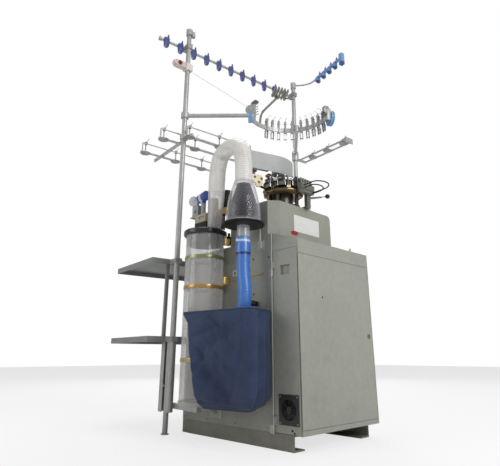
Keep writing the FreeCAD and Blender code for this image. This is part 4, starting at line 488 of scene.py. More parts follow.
fan_at = np.array([0.308, wall, 0.1453])
corner = np.array([0.0440, 0.0476])
fan_screws = [(fan_at[0] + sx * corner[0], wall - 0.003, fan_at[2] + sz * corner[1])
              for sx in (-1, 1) for sz in (-1, 1)]
lofted("fan_screws", turned(domed(0.0038, 0.0020), fan_screws, (0, -1, 0), 12), screw_steel,
       body="side_door")
wire = np.array([(0.0007, 0.0), (0.0007, 0.0012), (-0.0007, 0.0012), (-0.0007, 0.0)])
guard_rings = np.concatenate([turned(wire + (r, 0.0), [(fan_at[0], wall - 0.0030, fan_at[2])], (0, -1, 0), 40)
                              for r in (0.020, 0.0265, 0.033)])
lofted("fan_guard_rings", guard_rings, fan_black, loop=True, body="side_door")

# ---------------------------------------------------------------- Upper housing
# Cast and sheet housing of the drive under the head, in the cabinet's grey, with one bare white
# plate and a small red mark riveted to its front face.
housing_paint = finish("housing_paint", linear(160, 161, 150), rough=0.4, soil=0.18, scale=5.0, grain=380,
                       bump=0.12)
dress(housing_paint, "upper_housing", "dial_carrier", edge=0.0012)
plate_white = finish("plate_white", linear(236, 236, 232), rough=0.25, soil=0.05, scale=20, grain=900,
                     bump=0.03)
lofted("bare_plate", slab(0.2350, 0.2362, 0, rounded(-0.1186, 0.0690, 0.8980, 0.9790, 0.003), 0.0003),
       plate_white)
mark_red = finish("mark_red", linear(168, 34, 36), rough=0.3, soil=0.1, scale=40, grain=900, bump=0.05)
a = np.arange(28) * 2 * np.pi / 28
oval = np.stack([-0.117 + 0.025 * np.cos(a), 0.888 + 0.0105 * np.sin(a)], -1)
lofted("red_mark", slab(0.2350, 0.2372, 0, oval, 0.0005), mark_red)

# ---------------------------------------------------------------- Knitting head
# Turned steel bed with pillars, an oiled bronze-dark cam ring, the needle cylinder with its latch
# needles, a slotted dial above, and the selectors and yarn fingers standing round the ring.
oiled_bronze = finish("oiled_bronze", linear(124, 108, 80), rough=0.16, spread=0.2, soil=0.55, scale=22,
                      metal=0.9, grain=300, bump=0.1, soil_colour=linear(52, 46, 36))
machined = finish("machined", linear(150, 150, 150), rough=0.26, soil=0.35, scale=24, metal=0.9,
                  streak=(60, 60, 900), bump=0.08)
bright = finish("bright", linear(205, 205, 205), rough=0.16, soil=0.1, scale=30, metal=1.0, grain=700,
                bump=0.04)
slate = finish("slate", linear(86, 86, 90), rough=0.35, soil=0.45, scale=26, metal=0.6, grain=500, bump=0.12)
# Dark steel: its colour paints the shade that falls under the cam ring, on the needle cylinder and the bed
# plate.
shade_darkened_steel = finish("shade_darkened_steel", linear(84, 82, 76), rough=0.24, soil=0.4, scale=24, metal=0.85,
                     streak=(60, 60, 900), bump=0.06, soil_colour=linear(48, 44, 38))
dress(oiled_bronze, "cam_ring")
dress(machined, "dial", "lever_bracket", "drive_shaft", "motor_pulley")
dress(shade_darkened_steel, "bed_plate", "needle_cylinder")
dress(slate, "feeder_fingers")
dress(bright, "needles")

shield_paint = finish("shield_paint", linear(176, 179, 177), rough=0.42, soil=0.12, scale=10, grain=500,
                      bump=0.05)
dress(shield_paint, "head_shield")
cream = finish("cream", linear(240, 222, 188), rough=0.35, soil=0.2, scale=30, grain=500, bump=0.06)


def set_round(rings, centre, degrees):
    """Copies of a form set round a centre: x of the form points outwards, y along the circle, and
    each copy is turned by its angle."""
    a = np.radians(np.atleast_1d(degrees))[:, None, None, None]
    x, y, z = (rings[None, ..., k:k + 1] for k in range(3))
    turned_form = [x * np.cos(a) - y * np.sin(a) + centre[0], x * np.sin(a) + y * np.cos(a) + centre[1],
                   z + centre[2] + 0 * a]
    return np.concatenate(turned_form, -1).reshape(-1, *rings.shape[-3:])


def spots(point, centre, degrees):
    """One point of a form set round a centre, once for each angle."""
    return set_round(np.array([[point]], float), centre, degrees).reshape(-1, 3)


def heading(degrees):
    """Direction outwards at an angle: its cosine, and its sine."""
    return np.array([math.cos(math.radians(degrees)), math.sin(math.radians(degrees)), 0.0])


def tangent(degrees):
    """Direction along the circle at an angle: minus its sine, and its cosine."""
    return np.array([-math.sin(math.radians(degrees)), math.cos(math.radians(degrees)), 0.0])


def pressed(outline, low, high, edge):
    """Rings of a plate in the form's own x and z, between two values of y, its edges rounded in
    three steps: the outline shrinks towards its middle by a quarter circle."""
    outline = np.asarray(outline, float)
    middle = outline.mean(0)
    reach = np.abs(outline - middle).max()
    t = np.linspace(0, np.pi / 2, 4)
    shrink = np.concatenate([1 - edge * (1 - np.sin(t)) / reach, 1 - edge * (1 - np.cos(t)) / reach])
    y = np.concatenate([low + edge * (1 - np.cos(t)), high - edge * (1 - np.sin(t))])
    rings = np.zeros((len(y), len(outline), 3))
    rings[:, :, (0, 2)] = middle + (outline - middle) * shrink[:, None, None]
    rings[:, :, 1] = y[:, None]
    return rings


def pressed_round(outline, low, high, edge, centre, degrees):
    """A pressed plate set round a centre at every angle."""
    return set_round(pressed(outline, low, high, edge), centre, degrees)


# The cream casting hangs under the shield's left wing from a knob on a stud; its arm is set on the ring.
wing = (0.130, -0.316, 0.0)
wing_turn = math.degrees(math.atan2(0.151, 0.047))
casting = [(0.012, 1.166), (0.066, 1.168), (0.078, 1.158), (0.079, 1.122), (0.060, 1.106), (0.044, 1.105),
           (0.036, 1.124), (0.028, 1.128), (0.014, 1.150)]
plate = lofted("feeder_casting", pressed_round(casting, 0.0005, 0.0095, 0.0015, wing, wing_turn), cream)
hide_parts("feeder_bracket")
wing_u = heading(wing_turn)
wing_n = np.array([wing_u[1], -wing_u[0], 0])


def on_wing(along, out, z):
    """Point in the casting's own directions: along it, out from its face, and its height."""
    return np.array([wing[0], wing[1], z]) + wing_u * along + wing_n * out


knob_steps = [(0.0, 0.0), (0.007, 0.0), (0.007, 0.014), (0.0145, 0.0145), (0.0155, 0.016), (0.0155, 0.024),
              (0.0145, 0.0255), (0.005, 0.026), (0.005, 0.0299), (0.0, 0.0299)]
lofted("casting_knob", turned(knob_steps, [on_wing(0.030, -0.005, 1.1662)], sides=28), slate)
eyelet = [(0.0, 0.0), (0.0052, 0.0), (0.0062, 0.0010), (0.0050, 0.0018), (0.0036, 0.0012), (0.0, 0.0006)]
lofted("casting_screws", turned(eyelet, [on_wing(0.034, 0.0001, 1.152), on_wing(0.056, 0.0001, 1.128),
                                         on_wing(0.070, 0.0001, 1.148)], wing_n, 16), slate)
arm_from, arm_to = on_wing(0.055, -0.005, 1.113), np.array([0.122, -0.179, 1.118])
arm_size = float(np.linalg.norm(arm_to - arm_from))
lofted("casting_arm", turned([(0.0, 0.0), (0.006, 0.0), (0.006, arm_size - 0.004), (0.009, arm_size - 0.003),
                              (0.009, arm_size), (0.0, arm_size)], [arm_from], arm_to - arm_from, 16),
       oiled_bronze)
pad = [(0.016, 1.1905), (0.104, 1.1905), (0.110, 1.1959), (0.012, 1.1959)]
lofted("shield_pad", pressed_round(pad, -0.004, 0.004, 0.001, wing, wing_turn), slate)

# Stacks of thin selector jacks in slotted carriers, a yarn-cutter box, cam adjusters and two turned
# barrels are screwed to the top of the ring, each turned to face the needles.
head = (0.150, -0.095, 1.1242)
jack = [(0.060, 0.0), (0.094, 0.0), (0.094, 0.024), (0.099, 0.026), (0.099, 0.034), (0.091, 0.036),
        (0.089, 0.054), (0.078, 0.060), (0.070, 0.052), (0.060, 0.050)]
stack_angles = np.array([-126.0, -103.0, -54.0, 13.0, 36.0, 60.0, 150.0, 188.0, 222.0])
leaves = np.concatenate([pressed_round(jack, y, y + 0.0020, 0.0004, head, stack_angles)
                         for y in np.arange(-0.0135, 0.0130, 0.0036)])
lofted("selector_jacks", leaves, slate)
carrier = [(0.057, 0.0), (0.0955, 0.0), (0.0955, 0.018), (0.088, 0.022), (0.064, 0.022), (0.057, 0.016)]
satin_dark = finish("satin_dark", linear(118, 118, 114), rough=0.3, soil=0.4, scale=30, metal=0.7, grain=500,
                    bump=0.06)
lofted("jack_carriers", pressed_round(carrier, -0.0150, 0.0150, 0.0012, head, stack_angles), satin_dark)
box = [(0.076, 0.0602), (0.100, 0.0602), (0.100, 0.072), (0.096, 0.076), (0.080, 0.076), (0.076, 0.072)]
cutter_red = finish("cutter_red", linear(140, 92, 72), rough=0.35, soil=0.3, scale=30, grain=500, bump=0.06)
box_at = (head[0], head[1], head[2] - 0.004)
lofted("cutter_box", pressed_round(box, -0.010, 0.012, 0.0012, box_at, stack_angles[1]), cutter_red)
post = [(0.0, 0.0), (0.0042, 0.0), (0.0042, 0.003), (0.0026, 0.004), (0.0026, 0.044), (0.0040, 0.046),
        (0.0040, 0.052), (0.0024, 0.055), (0.0, 0.0555)]
post_at = spots((0.0925, 0.0, 0.0), head, [-90, -65, -42, -18, 3, 25, 48, 100, 128, 170, 205, 240])
lofted("adjuster_posts", turned(post, post_at, sides=12), bright)
barrel = [(0.0, 0.0), (0.0085, 0.0), (0.0095, 0.001), (0.0095, 0.008), (0.0088, 0.009), (0.0088, 0.028),
          (0.0095, 0.029), (0.0095, 0.037), (0.0085, 0.038), (0.0, 0.038)]
barrel_turns = (-66, -30)
barrel_at = spots((0.084, -0.019, 0.0335), head, barrel_turns)
barrels = [turned(barrel, [at], tangent(t), 20) for at, t in zip(barrel_at, barrel_turns)]
lofted("stitch_barrels", np.concatenate(barrels), bright)
warm_grey = finish("warm_grey", linear(132, 130, 122), rough=0.34, soil=0.45, scale=26, metal=0.4, grain=500,
                   bump=0.08)
dress(warm_grey, "spring_bank", angle=62)
ball_black = ((0.2950, 0.03, 1.0), (0.33, 0.08, 1.2), linear(24, 24, 26))
lever_grey = finish("lever_grey", linear(158, 158, 156), rough=0.3, soil=0.3, scale=30, metal=0.4, grain=500,
                    bump=0.06, zones=[ball_black])
dress(lever_grey, "lift_lever")

# ---------------------------------------------------------------- Drive in the cabinet
# Cast finned motor hung under the deck, with a flat rubber belt to the pulley shaft.
motor_paint = finish("motor_paint", linear(98, 104, 108), rough=0.45, soil=0.5, scale=14, grain=260, bump=0.3)
dress(motor_paint, "main_motor")
rubber = finish("rubber", linear(34, 34, 34), rough=0.6, soil=0.4, scale=50, grain=900, bump=0.25,
                soil_colour=linear(80, 78, 74))
dress(rubber, "drive_belt")


# ---------------------------------------------------------------- Cables
# Two black rubber-covered leads that leave the ring's control block, sweep out and come back.
def smooth_line(name, points):
    """Curve of one NURBS spline of order 3 that runs from the first point to the last."""
    curve = bpy.data.curves.new(name, "CURVE")
    curve.dimensions = "3D"
    curve.resolution_u = 16
    spline = curve.splines.new("NURBS")
    spline.points.add(len(points) - 1)
    spline.points.foreach_set("co", np.column_stack([points, np.ones(len(points))]).ravel())
    spline.order_u = 3
    spline.use_endpoint_u = True
    return curve


def line_points(curve):
    """Points along a curve's own line, in order."""
    holder = placed("line", curve)
    line = bpy.data.meshes.new_from_object(holder)
    points = np.array([v.co for v in line.vertices], float).reshape(-1, 3)
    bpy.data.objects.remove(holder)
    bpy.data.meshes.remove(line)
    return points


def run_length(points):
    """Length of the straight runs from point to point."""
    return float(np.linalg.norm(np.diff(points, axis=0), axis=1).sum())


def place_cord(name, curve, radius, material, slot_name, node, exit_point, far_end, **facts):
    """Round cord along its curve, standing for its CAD node, which it hides."""
    length = run_length(line_points(curve))
    curve.bevel_depth = radius
    curve.bevel_resolution = 5
    curve.use_fill_caps = True
    curve.materials.append(material)
    made = placed(name, curve)
    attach(made, "machine")
    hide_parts(node)
    return made


loop_shape = np.array([(0, 0, 1.126), (0.034, 0, 1.126), (0.072, -0.012, 1.124), (0.106, 0.008, 1.119),
                       (0.116, 0.042, 1.113), (0.092, 0.068, 1.107), (0.044, 0.070, 1.104),
                       (0, 0.070, 1.104)])
for name, scale, drop in (("cable_outer", 1.0, 0.0), ("cable_inner", 0.72, 0.009)):
    route = loop_shape * (scale, scale, 1) + (0.279, -0.087 + (1 - scale) * 0.034, -drop)
    place_cord("lead_" + name[6:], smooth_line("lead_" + name[6:], route), 0.003, rubber, "rubber", name,
               route[0], "object", stiffness="medium", lay="hanging")


# ---------------------------------------------------------------- Collector
# Clear acrylic tube clasped by metal bands, under a black moulded lid, on a black tray that is
# bolted to the cabinet. The knitted tubes are sucked up through it.
def clear(name, colour, face, edge, rough=0.1, streak=(14, 14, 0.6), haze=0.08, dense=None, **fixed):
    """Clear plastic: nearly see-through face on, denser at a glancing angle, with faint drawn lines.
    A dense zone is a box with a thicker or plated wall."""
    made, tree = blank_material(name)
    lines = add_node(tree, "ShaderNodeGroup", {"Stretch": streak}, node_tree=brushing).outputs["Streak"]
    weight = add_node(tree, "ShaderNodeLayerWeight", {"Blend": 0.42})
    wall_share = mapped(tree, weight.outputs["Facing"], face, edge)
    cloudy = mapped(tree, lines, -haze, haze, 0.35, 0.7)
    alpha = maths(tree, "ADD", wall_share, cloudy, clamp=True)
    if dense:
        plated = maths(tree, "MULTIPLY", zone_mask(tree, *dense[:2]), dense[2])
        alpha = maths(tree, "ADD", alpha, plated, clamp=True)
    roughness = mapped(tree, lines, rough, rough + 0.15)
    tone = mapped(tree, lines, 1 - haze, 1 + haze)
    worn = add_node(tree, "ShaderNodeGroup", {"Colour": colour, "Amount": 0.12, "Scale": 7.0, "Grain": 300.0},
                    node_tree=weathering)
    toned = scaled(tree, worn.outputs["Colour"], tone)
    close_material(tree, {"Base Color": toned, "Roughness": roughness, "Alpha": alpha}, fixed)
    return made


acrylic = clear("acrylic", linear(228, 226, 224), 0.27, 0.66, rough=0.05, streak=(26, 26, 0.4), haze=0.09,
                IOR=1.8)
dress(acrylic, "collector_tube", "collector_pipe")
black_gloss = finish("black_gloss", linear(30, 30, 34), rough=0.2, soil=0.25, scale=12, grain=700, bump=0.04,
                     soil_colour=linear(86, 84, 80))
dress(black_gloss, "collector_lid")
tray_grey = finish("tray_grey", linear(190, 190, 180), rough=0.4, soil=0.3, scale=10, grain=400, bump=0.06)
dress(tray_grey, "collector_base")
tube_x, tube_y = -0.125, -0.360
band_form = [(0.0922, -0.0080), (0.0936, -0.0086), (0.0940, -0.0060), (0.0940, 0.0060), (0.0936, 0.0086),
             (0.0922, 0.0080)]
for name, z, colour in (("green", 0.779, linear(150, 156, 112)), ("amber", 0.642, linear(188, 148, 92)),
                        ("pale", 0.325, linear(190, 170, 128))):
    metal = finish("band_" + name, colour, rough=0.24, soil=0.3, scale=16, metal=0.6, grain=400, bump=0.06,
                   soil_colour=linear(120, 104, 70))
    band = lofted("tube_band_" + name, turned(band_form, [(tube_x, tube_y, z)], sides=64), metal,
                  loop=True, angle=50)
    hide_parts("collector_bands")

# Brass angle brackets, a cream toggle catch and a brass tie hold the tube to the cabinet's wall.
cream_catch = finish("cream_catch", linear(236, 226, 198), rough=0.3, soil=0.15, scale=40, grain=600,
                     bump=0.04)
lug_brass = finish("lug_brass", linear(214, 186, 112), rough=0.24, soil=0.3, scale=30, metal=0.6, grain=500,
                   bump=0.05, soil_colour=linear(142, 122, 72))
angle_iron = [(-0.086, -0.3060), (-0.083, -0.3075), (-0.0600, -0.2960), (-0.0560, -0.2900),
              (-0.0560, -0.2628), (-0.0600, -0.2628), (-0.0600, -0.2880), (-0.0625, -0.2915),
              (-0.0840, -0.3020)]
brackets = [slab(z, z + 0.036, 2, angle_iron, 0.0008) for z in (0.849, 0.662)]
lofted("tube_brackets", np.array(brackets), lug_brass)
catch = rounded(-0.0200, 0.0060, 0.6955, 0.7225, 0.004)
lofted("toggle_catch", slab(wall, -0.2740, 1, catch, 0.002), cream_catch)
# The catch's mouth is a thin black sheet on its face, whose colour paints the shade in the opening.
catch_slot = rounded(-0.0060, 0.0020, 0.7000, 0.7180, 0.002)
lofted("catch_mouth", slab(-0.2738, -0.2752, 1, catch_slot, 0.0004), black_gloss)
tie_from, tie_to = (-0.0585, -0.2660, 0.676), (0.1750, -0.2665, 0.690)
lofted("brass_tie", rod(tie_from, tie_to, 0.0018, 0.0004, 0.001, 10), lug_brass)


# ---------------------------------------------------------------- Suction hose
# Ribbed clear hose, a wire helix skinned with soft plastic, that goes up from the collector's
# pipe, over, and down to the bell.
def hose_form(points, radius_at, normal, sides):
    """Rings along a flat route: each point plus its radius times cosine along the route's normal
    and sine square to it."""
    along = np.gradient(points, axis=0)
    along /= np.linalg.norm(along, axis=1)[:, None]
    normal = np.asarray(normal, float)
    side = np.cross(along, normal)
    a = np.arange(sides) * 2 * np.pi / sides
    spoke = np.cos(a)[None, :, None] * normal + np.sin(a)[None, :, None] * side[:, None, :]
    return points[:, None, :] + radius_at[:, None, None] * spoke


def even_steps(points, count):
    """The same line in equal steps of its own length, and the distance run at each."""
    gone = np.concatenate([[0], np.cumsum(np.linalg.norm(np.diff(points, axis=0), axis=1))])
    at = np.linspace(0, gone[-1], count)
    return np.column_stack([np.interp(at, gone, points[:, k]) for k in range(3)]), at


def duct(points, radius_at, thick, sides):
    """Rings of a hose along a route in the XZ plane: out along its outside, back along its inside."""
    outside = hose_form(points, radius_at, (0, 1, 0), sides)
    inside = hose_form(points, radius_at - thick, (0, 1, 0), sides)
    return np.concatenate([outside, inside[::-1]])


hose_y = -0.360
hose_route = np.array([(-0.050, hose_y, 1.100), (-0.050, hose_y, 1.2524), (0.0071, hose_y, 1.3095),
                       (0.0879, hose_y, 1.3095), (0.145, hose_y, 1.2524), (0.145, hose_y, 1.100)])
hose_line, gone = even_steps(line_points(smooth_line("suction_route", hose_route)), 520)
ribs, rib_height = 46, 0.00030
wave = np.cos(gone / gone[-1] * ribs * 2 * np.pi)
hose_radius = 0.0411 + rib_height * np.sign(wave) * np.abs(wave) ** 0.6
clear_hose = clear("clear_hose", linear(250, 248, 244), 0.38, 0.82, rough=0.08, streak=(7, 7, 7), haze=0.04)
hose = lofted("suction_duct", duct(hose_line, hose_radius, 0.0022, 48), clear_hose, loop=True,
              angle=60)
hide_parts("suction_hose")

# ---------------------------------------------------------------- Bell
# Clear shell blown over a dark liner on a black flange, whose lug is screwed to a post. Its mouth
# grips the suction hose, and the knitted tubes drop from it through a silvery clear tube.
bell_at = [(0.145, hose_y, 0.0)]
mouth_z, skirt_z = 1.104, 0.9034
bell_clear = clear("bell_clear", linear(206, 206, 212), 0.02, 0.50, rough=0.04, streak=(12, 12, 0.3),
                   haze=0.02, dense=((0.10, -0.40, 0.80), (0.19, -0.32, 0.8925), 0.55), IOR=1.9)


def bell_radius(z):
    """Radius of the shell at a height: a quarter sine from the mouth to the skirt, to the power
    0.85, and a flare that dies away above the flange."""
    down = np.clip((mouth_z - z) / 0.179, 0, 1)
    return 0.0440 + 0.034 * np.sin(down * np.pi / 2) ** 0.85 + 0.013 * np.exp(-(z - skirt_z) / 0.007)


def walled(radius, height, thick):
    """Profile of a thin wall: down its outside, then up its inside, a thickness nearer the axis."""
    outside = np.column_stack([radius, height])
    return np.concatenate([outside, outside[::-1] - (thick, 0)])


bell_z = skirt_z + (mouth_z - skirt_z) * np.linspace(1, 0, 40) ** 1.3
tube_z = np.linspace(0.8928, 0.842, 40)
shell_forms = [turned(walled(bell_radius(bell_z), bell_z, 0.0022), bell_at, sides=64),
               turned(walled(np.full(40, 0.0285), tube_z, 0.003), bell_at, sides=64)]
shell = lofted("bell_shell", np.concatenate(shell_forms), bell_clear, loop=True, angle=50)
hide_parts("bell_cone")
mouth_bead = [(0.0428, 1.0965), (0.0452, 1.0965), (0.0458, 1.0990), (0.0452, 1.1040), (0.0440, 1.1055),
              (0.0428, 1.1050)]
mouth = lofted("bell_mouth", turned(mouth_bead, bell_at, sides=64), bell_clear, loop=True,
               angle=50)

liner_dark = finish("liner_dark", linear(16, 15, 24), rough=0.34, soil=0.2, scale=9, grain=120, bump=0.004,
                    soil_colour=linear(34, 32, 44), Specular_IOR_Level=0.2)
liner_z = np.linspace(1.0895, 0.9036, 40)
liner_r = 0.0375 + 0.0365 * np.sin(np.clip((mouth_z - liner_z) / 0.19, 0, 1) * np.pi / 2) - 0.0095
liner_r += 0.0095 * np.clip((1.05 - liner_z) / 0.146, 0, 1)
liner = lofted("bell_lining", turned(walled(liner_r, liner_z, 0.002), bell_at, sides=64), liner_dark,
               loop=True, angle=50)
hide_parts("bell_liner")
flange_black = finish("flange_black", linear(18, 18, 21), rough=0.3, soil=0.2, scale=12, grain=700, bump=0.02,
                      soil_colour=linear(46, 44, 44), Specular_IOR_Level=0.25)
flange_form = [(0.0258, 0.8932), (0.0880, 0.8932), (0.0925, 0.8945), (0.0950, 0.8965), (0.0958, 0.8995),
               (0.0950, 0.9020), (0.0930, 0.9033), (0.0900, 0.9033), (0.0258, 0.9033)]
flange = lofted("bell_foot", turned(flange_form, bell_at, sides=64), flange_black, loop=True,
                angle=50)
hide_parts("bell_flange")
lug = lofted("bell_lug", slab(0.8934, 0.9030, 2, rounded(0.153, 0.175, -0.2990, -0.2660, 0.006), 0.0008),
             flange_black)
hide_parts("bell_flange")
dress(zinc, "bell_post")

# ---------------------------------------------------------------- Blue hose
# Smooth blue wire-wound hose from the drop tube's cuff down into the bag.
clamp_pale = ((0.10, -0.42, 0.812), (0.19, -0.31, 0.846), linear(92, 140, 206))
clamp_silver = ((0.10, -0.42, 0.8175), (0.19, -0.31, 0.8265), linear(206, 216, 228))
lip_dark = ((0.10, -0.42, 0.760), (0.19, -0.31, 0.7705), linear(26, 52, 112))
blue_pvc = finish("blue_pvc", linear(66, 124, 206), rough=0.22, soil=0.25, scale=12, grain=240, bump=0.06,
                  soil_colour=linear(46, 88, 160), zones=[clamp_pale, clamp_silver, lip_dark],
                  Coat_Weight=0.3)
dress(blue_pvc, "hose_cuff")
blue_route = np.array([(0.145, hose_y, 0.780), (0.145, hose_y, 0.686), (0.162, hose_y, 0.590),
                       (0.134, hose_y, 0.478), (0.138, hose_y, 0.384)])
blue_line, gone = even_steps(line_points(smooth_line("blue_route", blue_route)), 300)
coil_pitch, coil_height = 0.0105, 0.00028
blue_radius = 0.0297 + coil_height * np.cos(gone / coil_pitch * 2 * np.pi)
hose = lofted("blue_duct", duct(blue_line, blue_radius, 0.0030, 44), blue_pvc, loop=True,
              angle=60)
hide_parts("blue_hose")


# ---------------------------------------------------------------- Bag
# Sewn sack of dark blue cloth that hangs from a wire frame at its rim, hollowed round the
# collector. It sags at the foot, and the weight draws slanting creases across its front.
hollow_r = 0.0981


def sack_outline(left, front, right_x, right_y, back, counts):
    """One level of the sack: the hollow round the collector, the cabinet side, the right side and
    the front, each with its own count of points."""
    y_back = wall - 0.0045 - back
    first = -np.pi / 2 - math.atan2(tube_x - left, math.sqrt(hollow_r * hollow_r - (left - tube_x) ** 2))
    a = np.linspace(first, 0, 24)
    corners = np.concatenate([np.stack([tube_x + hollow_r * np.cos(a), tube_y + hollow_r * np.sin(a)], -1),
                              [(tube_x + hollow_r + 0.013, y_back), (min(0.224, right_x - 0.038), y_back),
                               (right_x, right_y), (right_x - 0.007, right_y - 0.012),
                               (right_x - 0.022, right_y - 0.016), (left, front)]])
    runs = [corners[:25], corners[24:26], corners[25:29], corners[28:30], corners[[29, 0]]]
    made = []
    for run, count in zip(runs, counts):
        gone = np.concatenate([[0], np.cumsum(np.linalg.norm(np.diff(run, axis=0), axis=1))])
        at = np.linspace(0, gone[-1], count, endpoint=False)
        made.append(np.column_stack([np.interp(at, gone, run[:, k]) for k in range(2)]))
    return np.concatenate(made)


counts = (56, 54, 46, 112, 8)
rim_z, turn_z, foot_drop = 0.520, 0.200, 0.063
levels = [(rim_z, -0.130, -0.474, 0.272, -0.416, 0.0), (0.476, -0.088, -0.478, 0.276, -0.414, 0.0),
          (0.394, -0.074, -0.482, 0.278, -0.412, 0.0), (0.318, -0.058, -0.484, 0.278, -0.412, 0.0),
          (0.248, -0.042, -0.482, 0.276, -0.412, 0.001), (0.190, -0.036, -0.472, 0.266, -0.410, 0.004),
          (0.160, -0.038, -0.450, 0.244, -0.398, 0.012), (0.1395, -0.040, -0.414, 0.200, -0.368, 0.026)]
known = np.stack([sack_outline(*level[1:], counts) for level in levels])
known_z = np.array([level[0] for level in levels])
z_side = np.linspace(rim_z, turn_z, 60)
z_foot = turn_z - foot_drop * np.sin(np.linspace(0, 1, 22)[1:] * np.pi / 2)
z_rows = np.concatenate([z_side, z_foot])
rows = np.stack([[np.interp(-z_rows, -known_z, known[:, p, k]) for k in range(2)]
                 for p in range(known.shape[1])]).transpose(2, 0, 1)
kernel = np.exp(-0.5 * (np.arange(-9, 10) / 3.6) ** 2)
kernel /= kernel.sum()
rows = sum(w * np.roll(rows, k, axis=1) for w, k in zip(kernel, range(-9, 10)))
middle = rows.mean(1, keepdims=True)
step = np.roll(rows, -1, axis=1) - np.roll(rows, 1, axis=1)
out = np.stack([step[..., 1], -step[..., 0]], -1)
out /= np.linalg.norm(out, axis=-1, keepdims=True)
out *= np.sign(((rows - middle) * out).sum(-1).mean())
x = rows[..., 0]
z = np.broadcast_to(z_rows[:, None], x.shape)


def crease(x0, z0, x1, z1, width, depth):
    """Soft ridge between two points of the front: a bell curve of the distance from their line,
    fading past its ends."""
    run = np.array([x1 - x0, z1 - z0])
    size = np.linalg.norm(run)
    s = ((x - x0) * run[0] + (z - z0) * run[1]) / size
    d = ((z - z0) * run[0] - (x - x0) * run[1]) / size
    ends = 1 / (1 + np.exp(-s / 0.012)) / (1 + np.exp((s - size) / 0.012))
    return depth * np.exp(-0.5 * (d / width) ** 2) * ends


front_side = (rows[..., 1] < -0.405) & (np.arange(rows.shape[1]) > sum(counts[:2]))
creases = [(-0.11, 0.39, 0.10, 0.47, 0.010, -0.006),
           (-0.10, 0.30, 0.20, 0.47, 0.016, -0.009),
           (-0.12, 0.45, 0.02, 0.33, 0.010, -0.008),
           (-0.03, 0.36, 0.20, 0.22, 0.014, -0.010),
           (0.225, 0.50, 0.205, 0.30, 0.012, -0.008),
           (-0.01, 0.295, 0.165, 0.190, 0.022, -0.030),
           (0.06, 0.47, 0.12, 0.24, 0.014, -0.006),
           (-0.09, 0.47, 0.02, 0.51, 0.007, -0.005),
           (0.02, 0.42, 0.10, 0.33, 0.006, -0.007),
           (0.09, 0.46, 0.19, 0.36, 0.010, -0.008),
           (0.03, 0.50, 0.14, 0.44, 0.006, -0.006),
           (-0.06, 0.24, 0.02, 0.36, 0.007, -0.006),
           (-0.02, 0.168, 0.16, 0.150, 0.007, -0.008)]
relief = sum(crease(*line) for line in creases)
fade = np.clip((0.522 - z) / 0.03, 0, 1) * np.clip((z - 0.138) / 0.03, 0, 1)
share_round = np.arange(rows.shape[1]) / rows.shape[1]
ripple = (0.0012 * np.sin(2 * np.pi * 7 * share_round + 3.1 * np.sin(z * 14))
          + 0.0006 * np.sin(2 * np.pi * 15 * share_round + 45 * z))
off_wall = np.clip((-rows[..., 1] - 0.285) / 0.05, 0.0, 1.0)
near_wall = off_wall * np.clip((rows[..., 0] + 0.075) / 0.06, 0.0, 1.0)
hollow_side = np.hypot(rows[..., 0] - tube_x, rows[..., 1] - tube_y) < hollow_r + 0.0199
side_fold = np.where(rows[..., 0] > 0.225, -0.016 * np.exp(-0.5 * ((rows[..., 1] + 0.368) / 0.012) ** 2)
                     - 0.006 * np.exp(-0.5 * ((rows[..., 1] + 0.318) / 0.009) ** 2), 0.0)
side_fold *= 1 - front_side
push = (relief * front_side + side_fold + ripple * (0.4 + 0.6 * front_side)) * fade * near_wall
push = np.where(hollow_side, 0, np.minimum(push, 0.004))
rows = rows + out * push[..., None]
bag_wall = np.concatenate([rows, z[..., None]], -1)
foot = bag_wall[-1]
centre = foot.mean(0)
shrink = np.linspace(1, 0.02, 14)[1:, None, None]
floor_rows = centre + (foot - centre) * shrink
floor_rows[..., 2] = 0.1365 - 0.0015 * (1 - shrink[..., 0])
sack = np.concatenate([bag_wall, floor_rows])
cloth_blue, tree = blank_material("cloth_blue")
lie = add_node(tree, "ShaderNodeUVMap", uv_map="weave")
warp, weft = (add_node(tree, "ShaderNodeTexWave", {"Vector": lie.outputs[0], "Scale": 260.0,
                                                   "Distortion": 1.2, "Detail": 1.0}, bands_direction=way)
              for way in "XY")
woven = maths(tree, "MULTIPLY", warp.outputs["Fac"], weft.outputs["Fac"])
worn = add_node(tree, "ShaderNodeGroup", {"Colour": linear(43, 61, 96), "Soil": linear(24, 32, 54),
                                          "Amount": 0.55, "Scale": 6.0, "Grain": 1200.0},
                node_tree=weathering)
toned = scaled(tree, worn.outputs["Colour"], mapped(tree, woven, 0.86, 1.16))
bumped = add_node(tree, "ShaderNodeBump", {"Height": woven, "Strength": 0.25, "Distance": 0.0008})
rough = mapped(tree, worn.outputs["Wear"], 0.72, 0.9)
close_material(tree, {"Base Color": toned, "Roughness": rough, "Normal": bumped.outputs[0]},
               {"Sheen_Weight": 0.08, "Sheen_Roughness": 0.5})


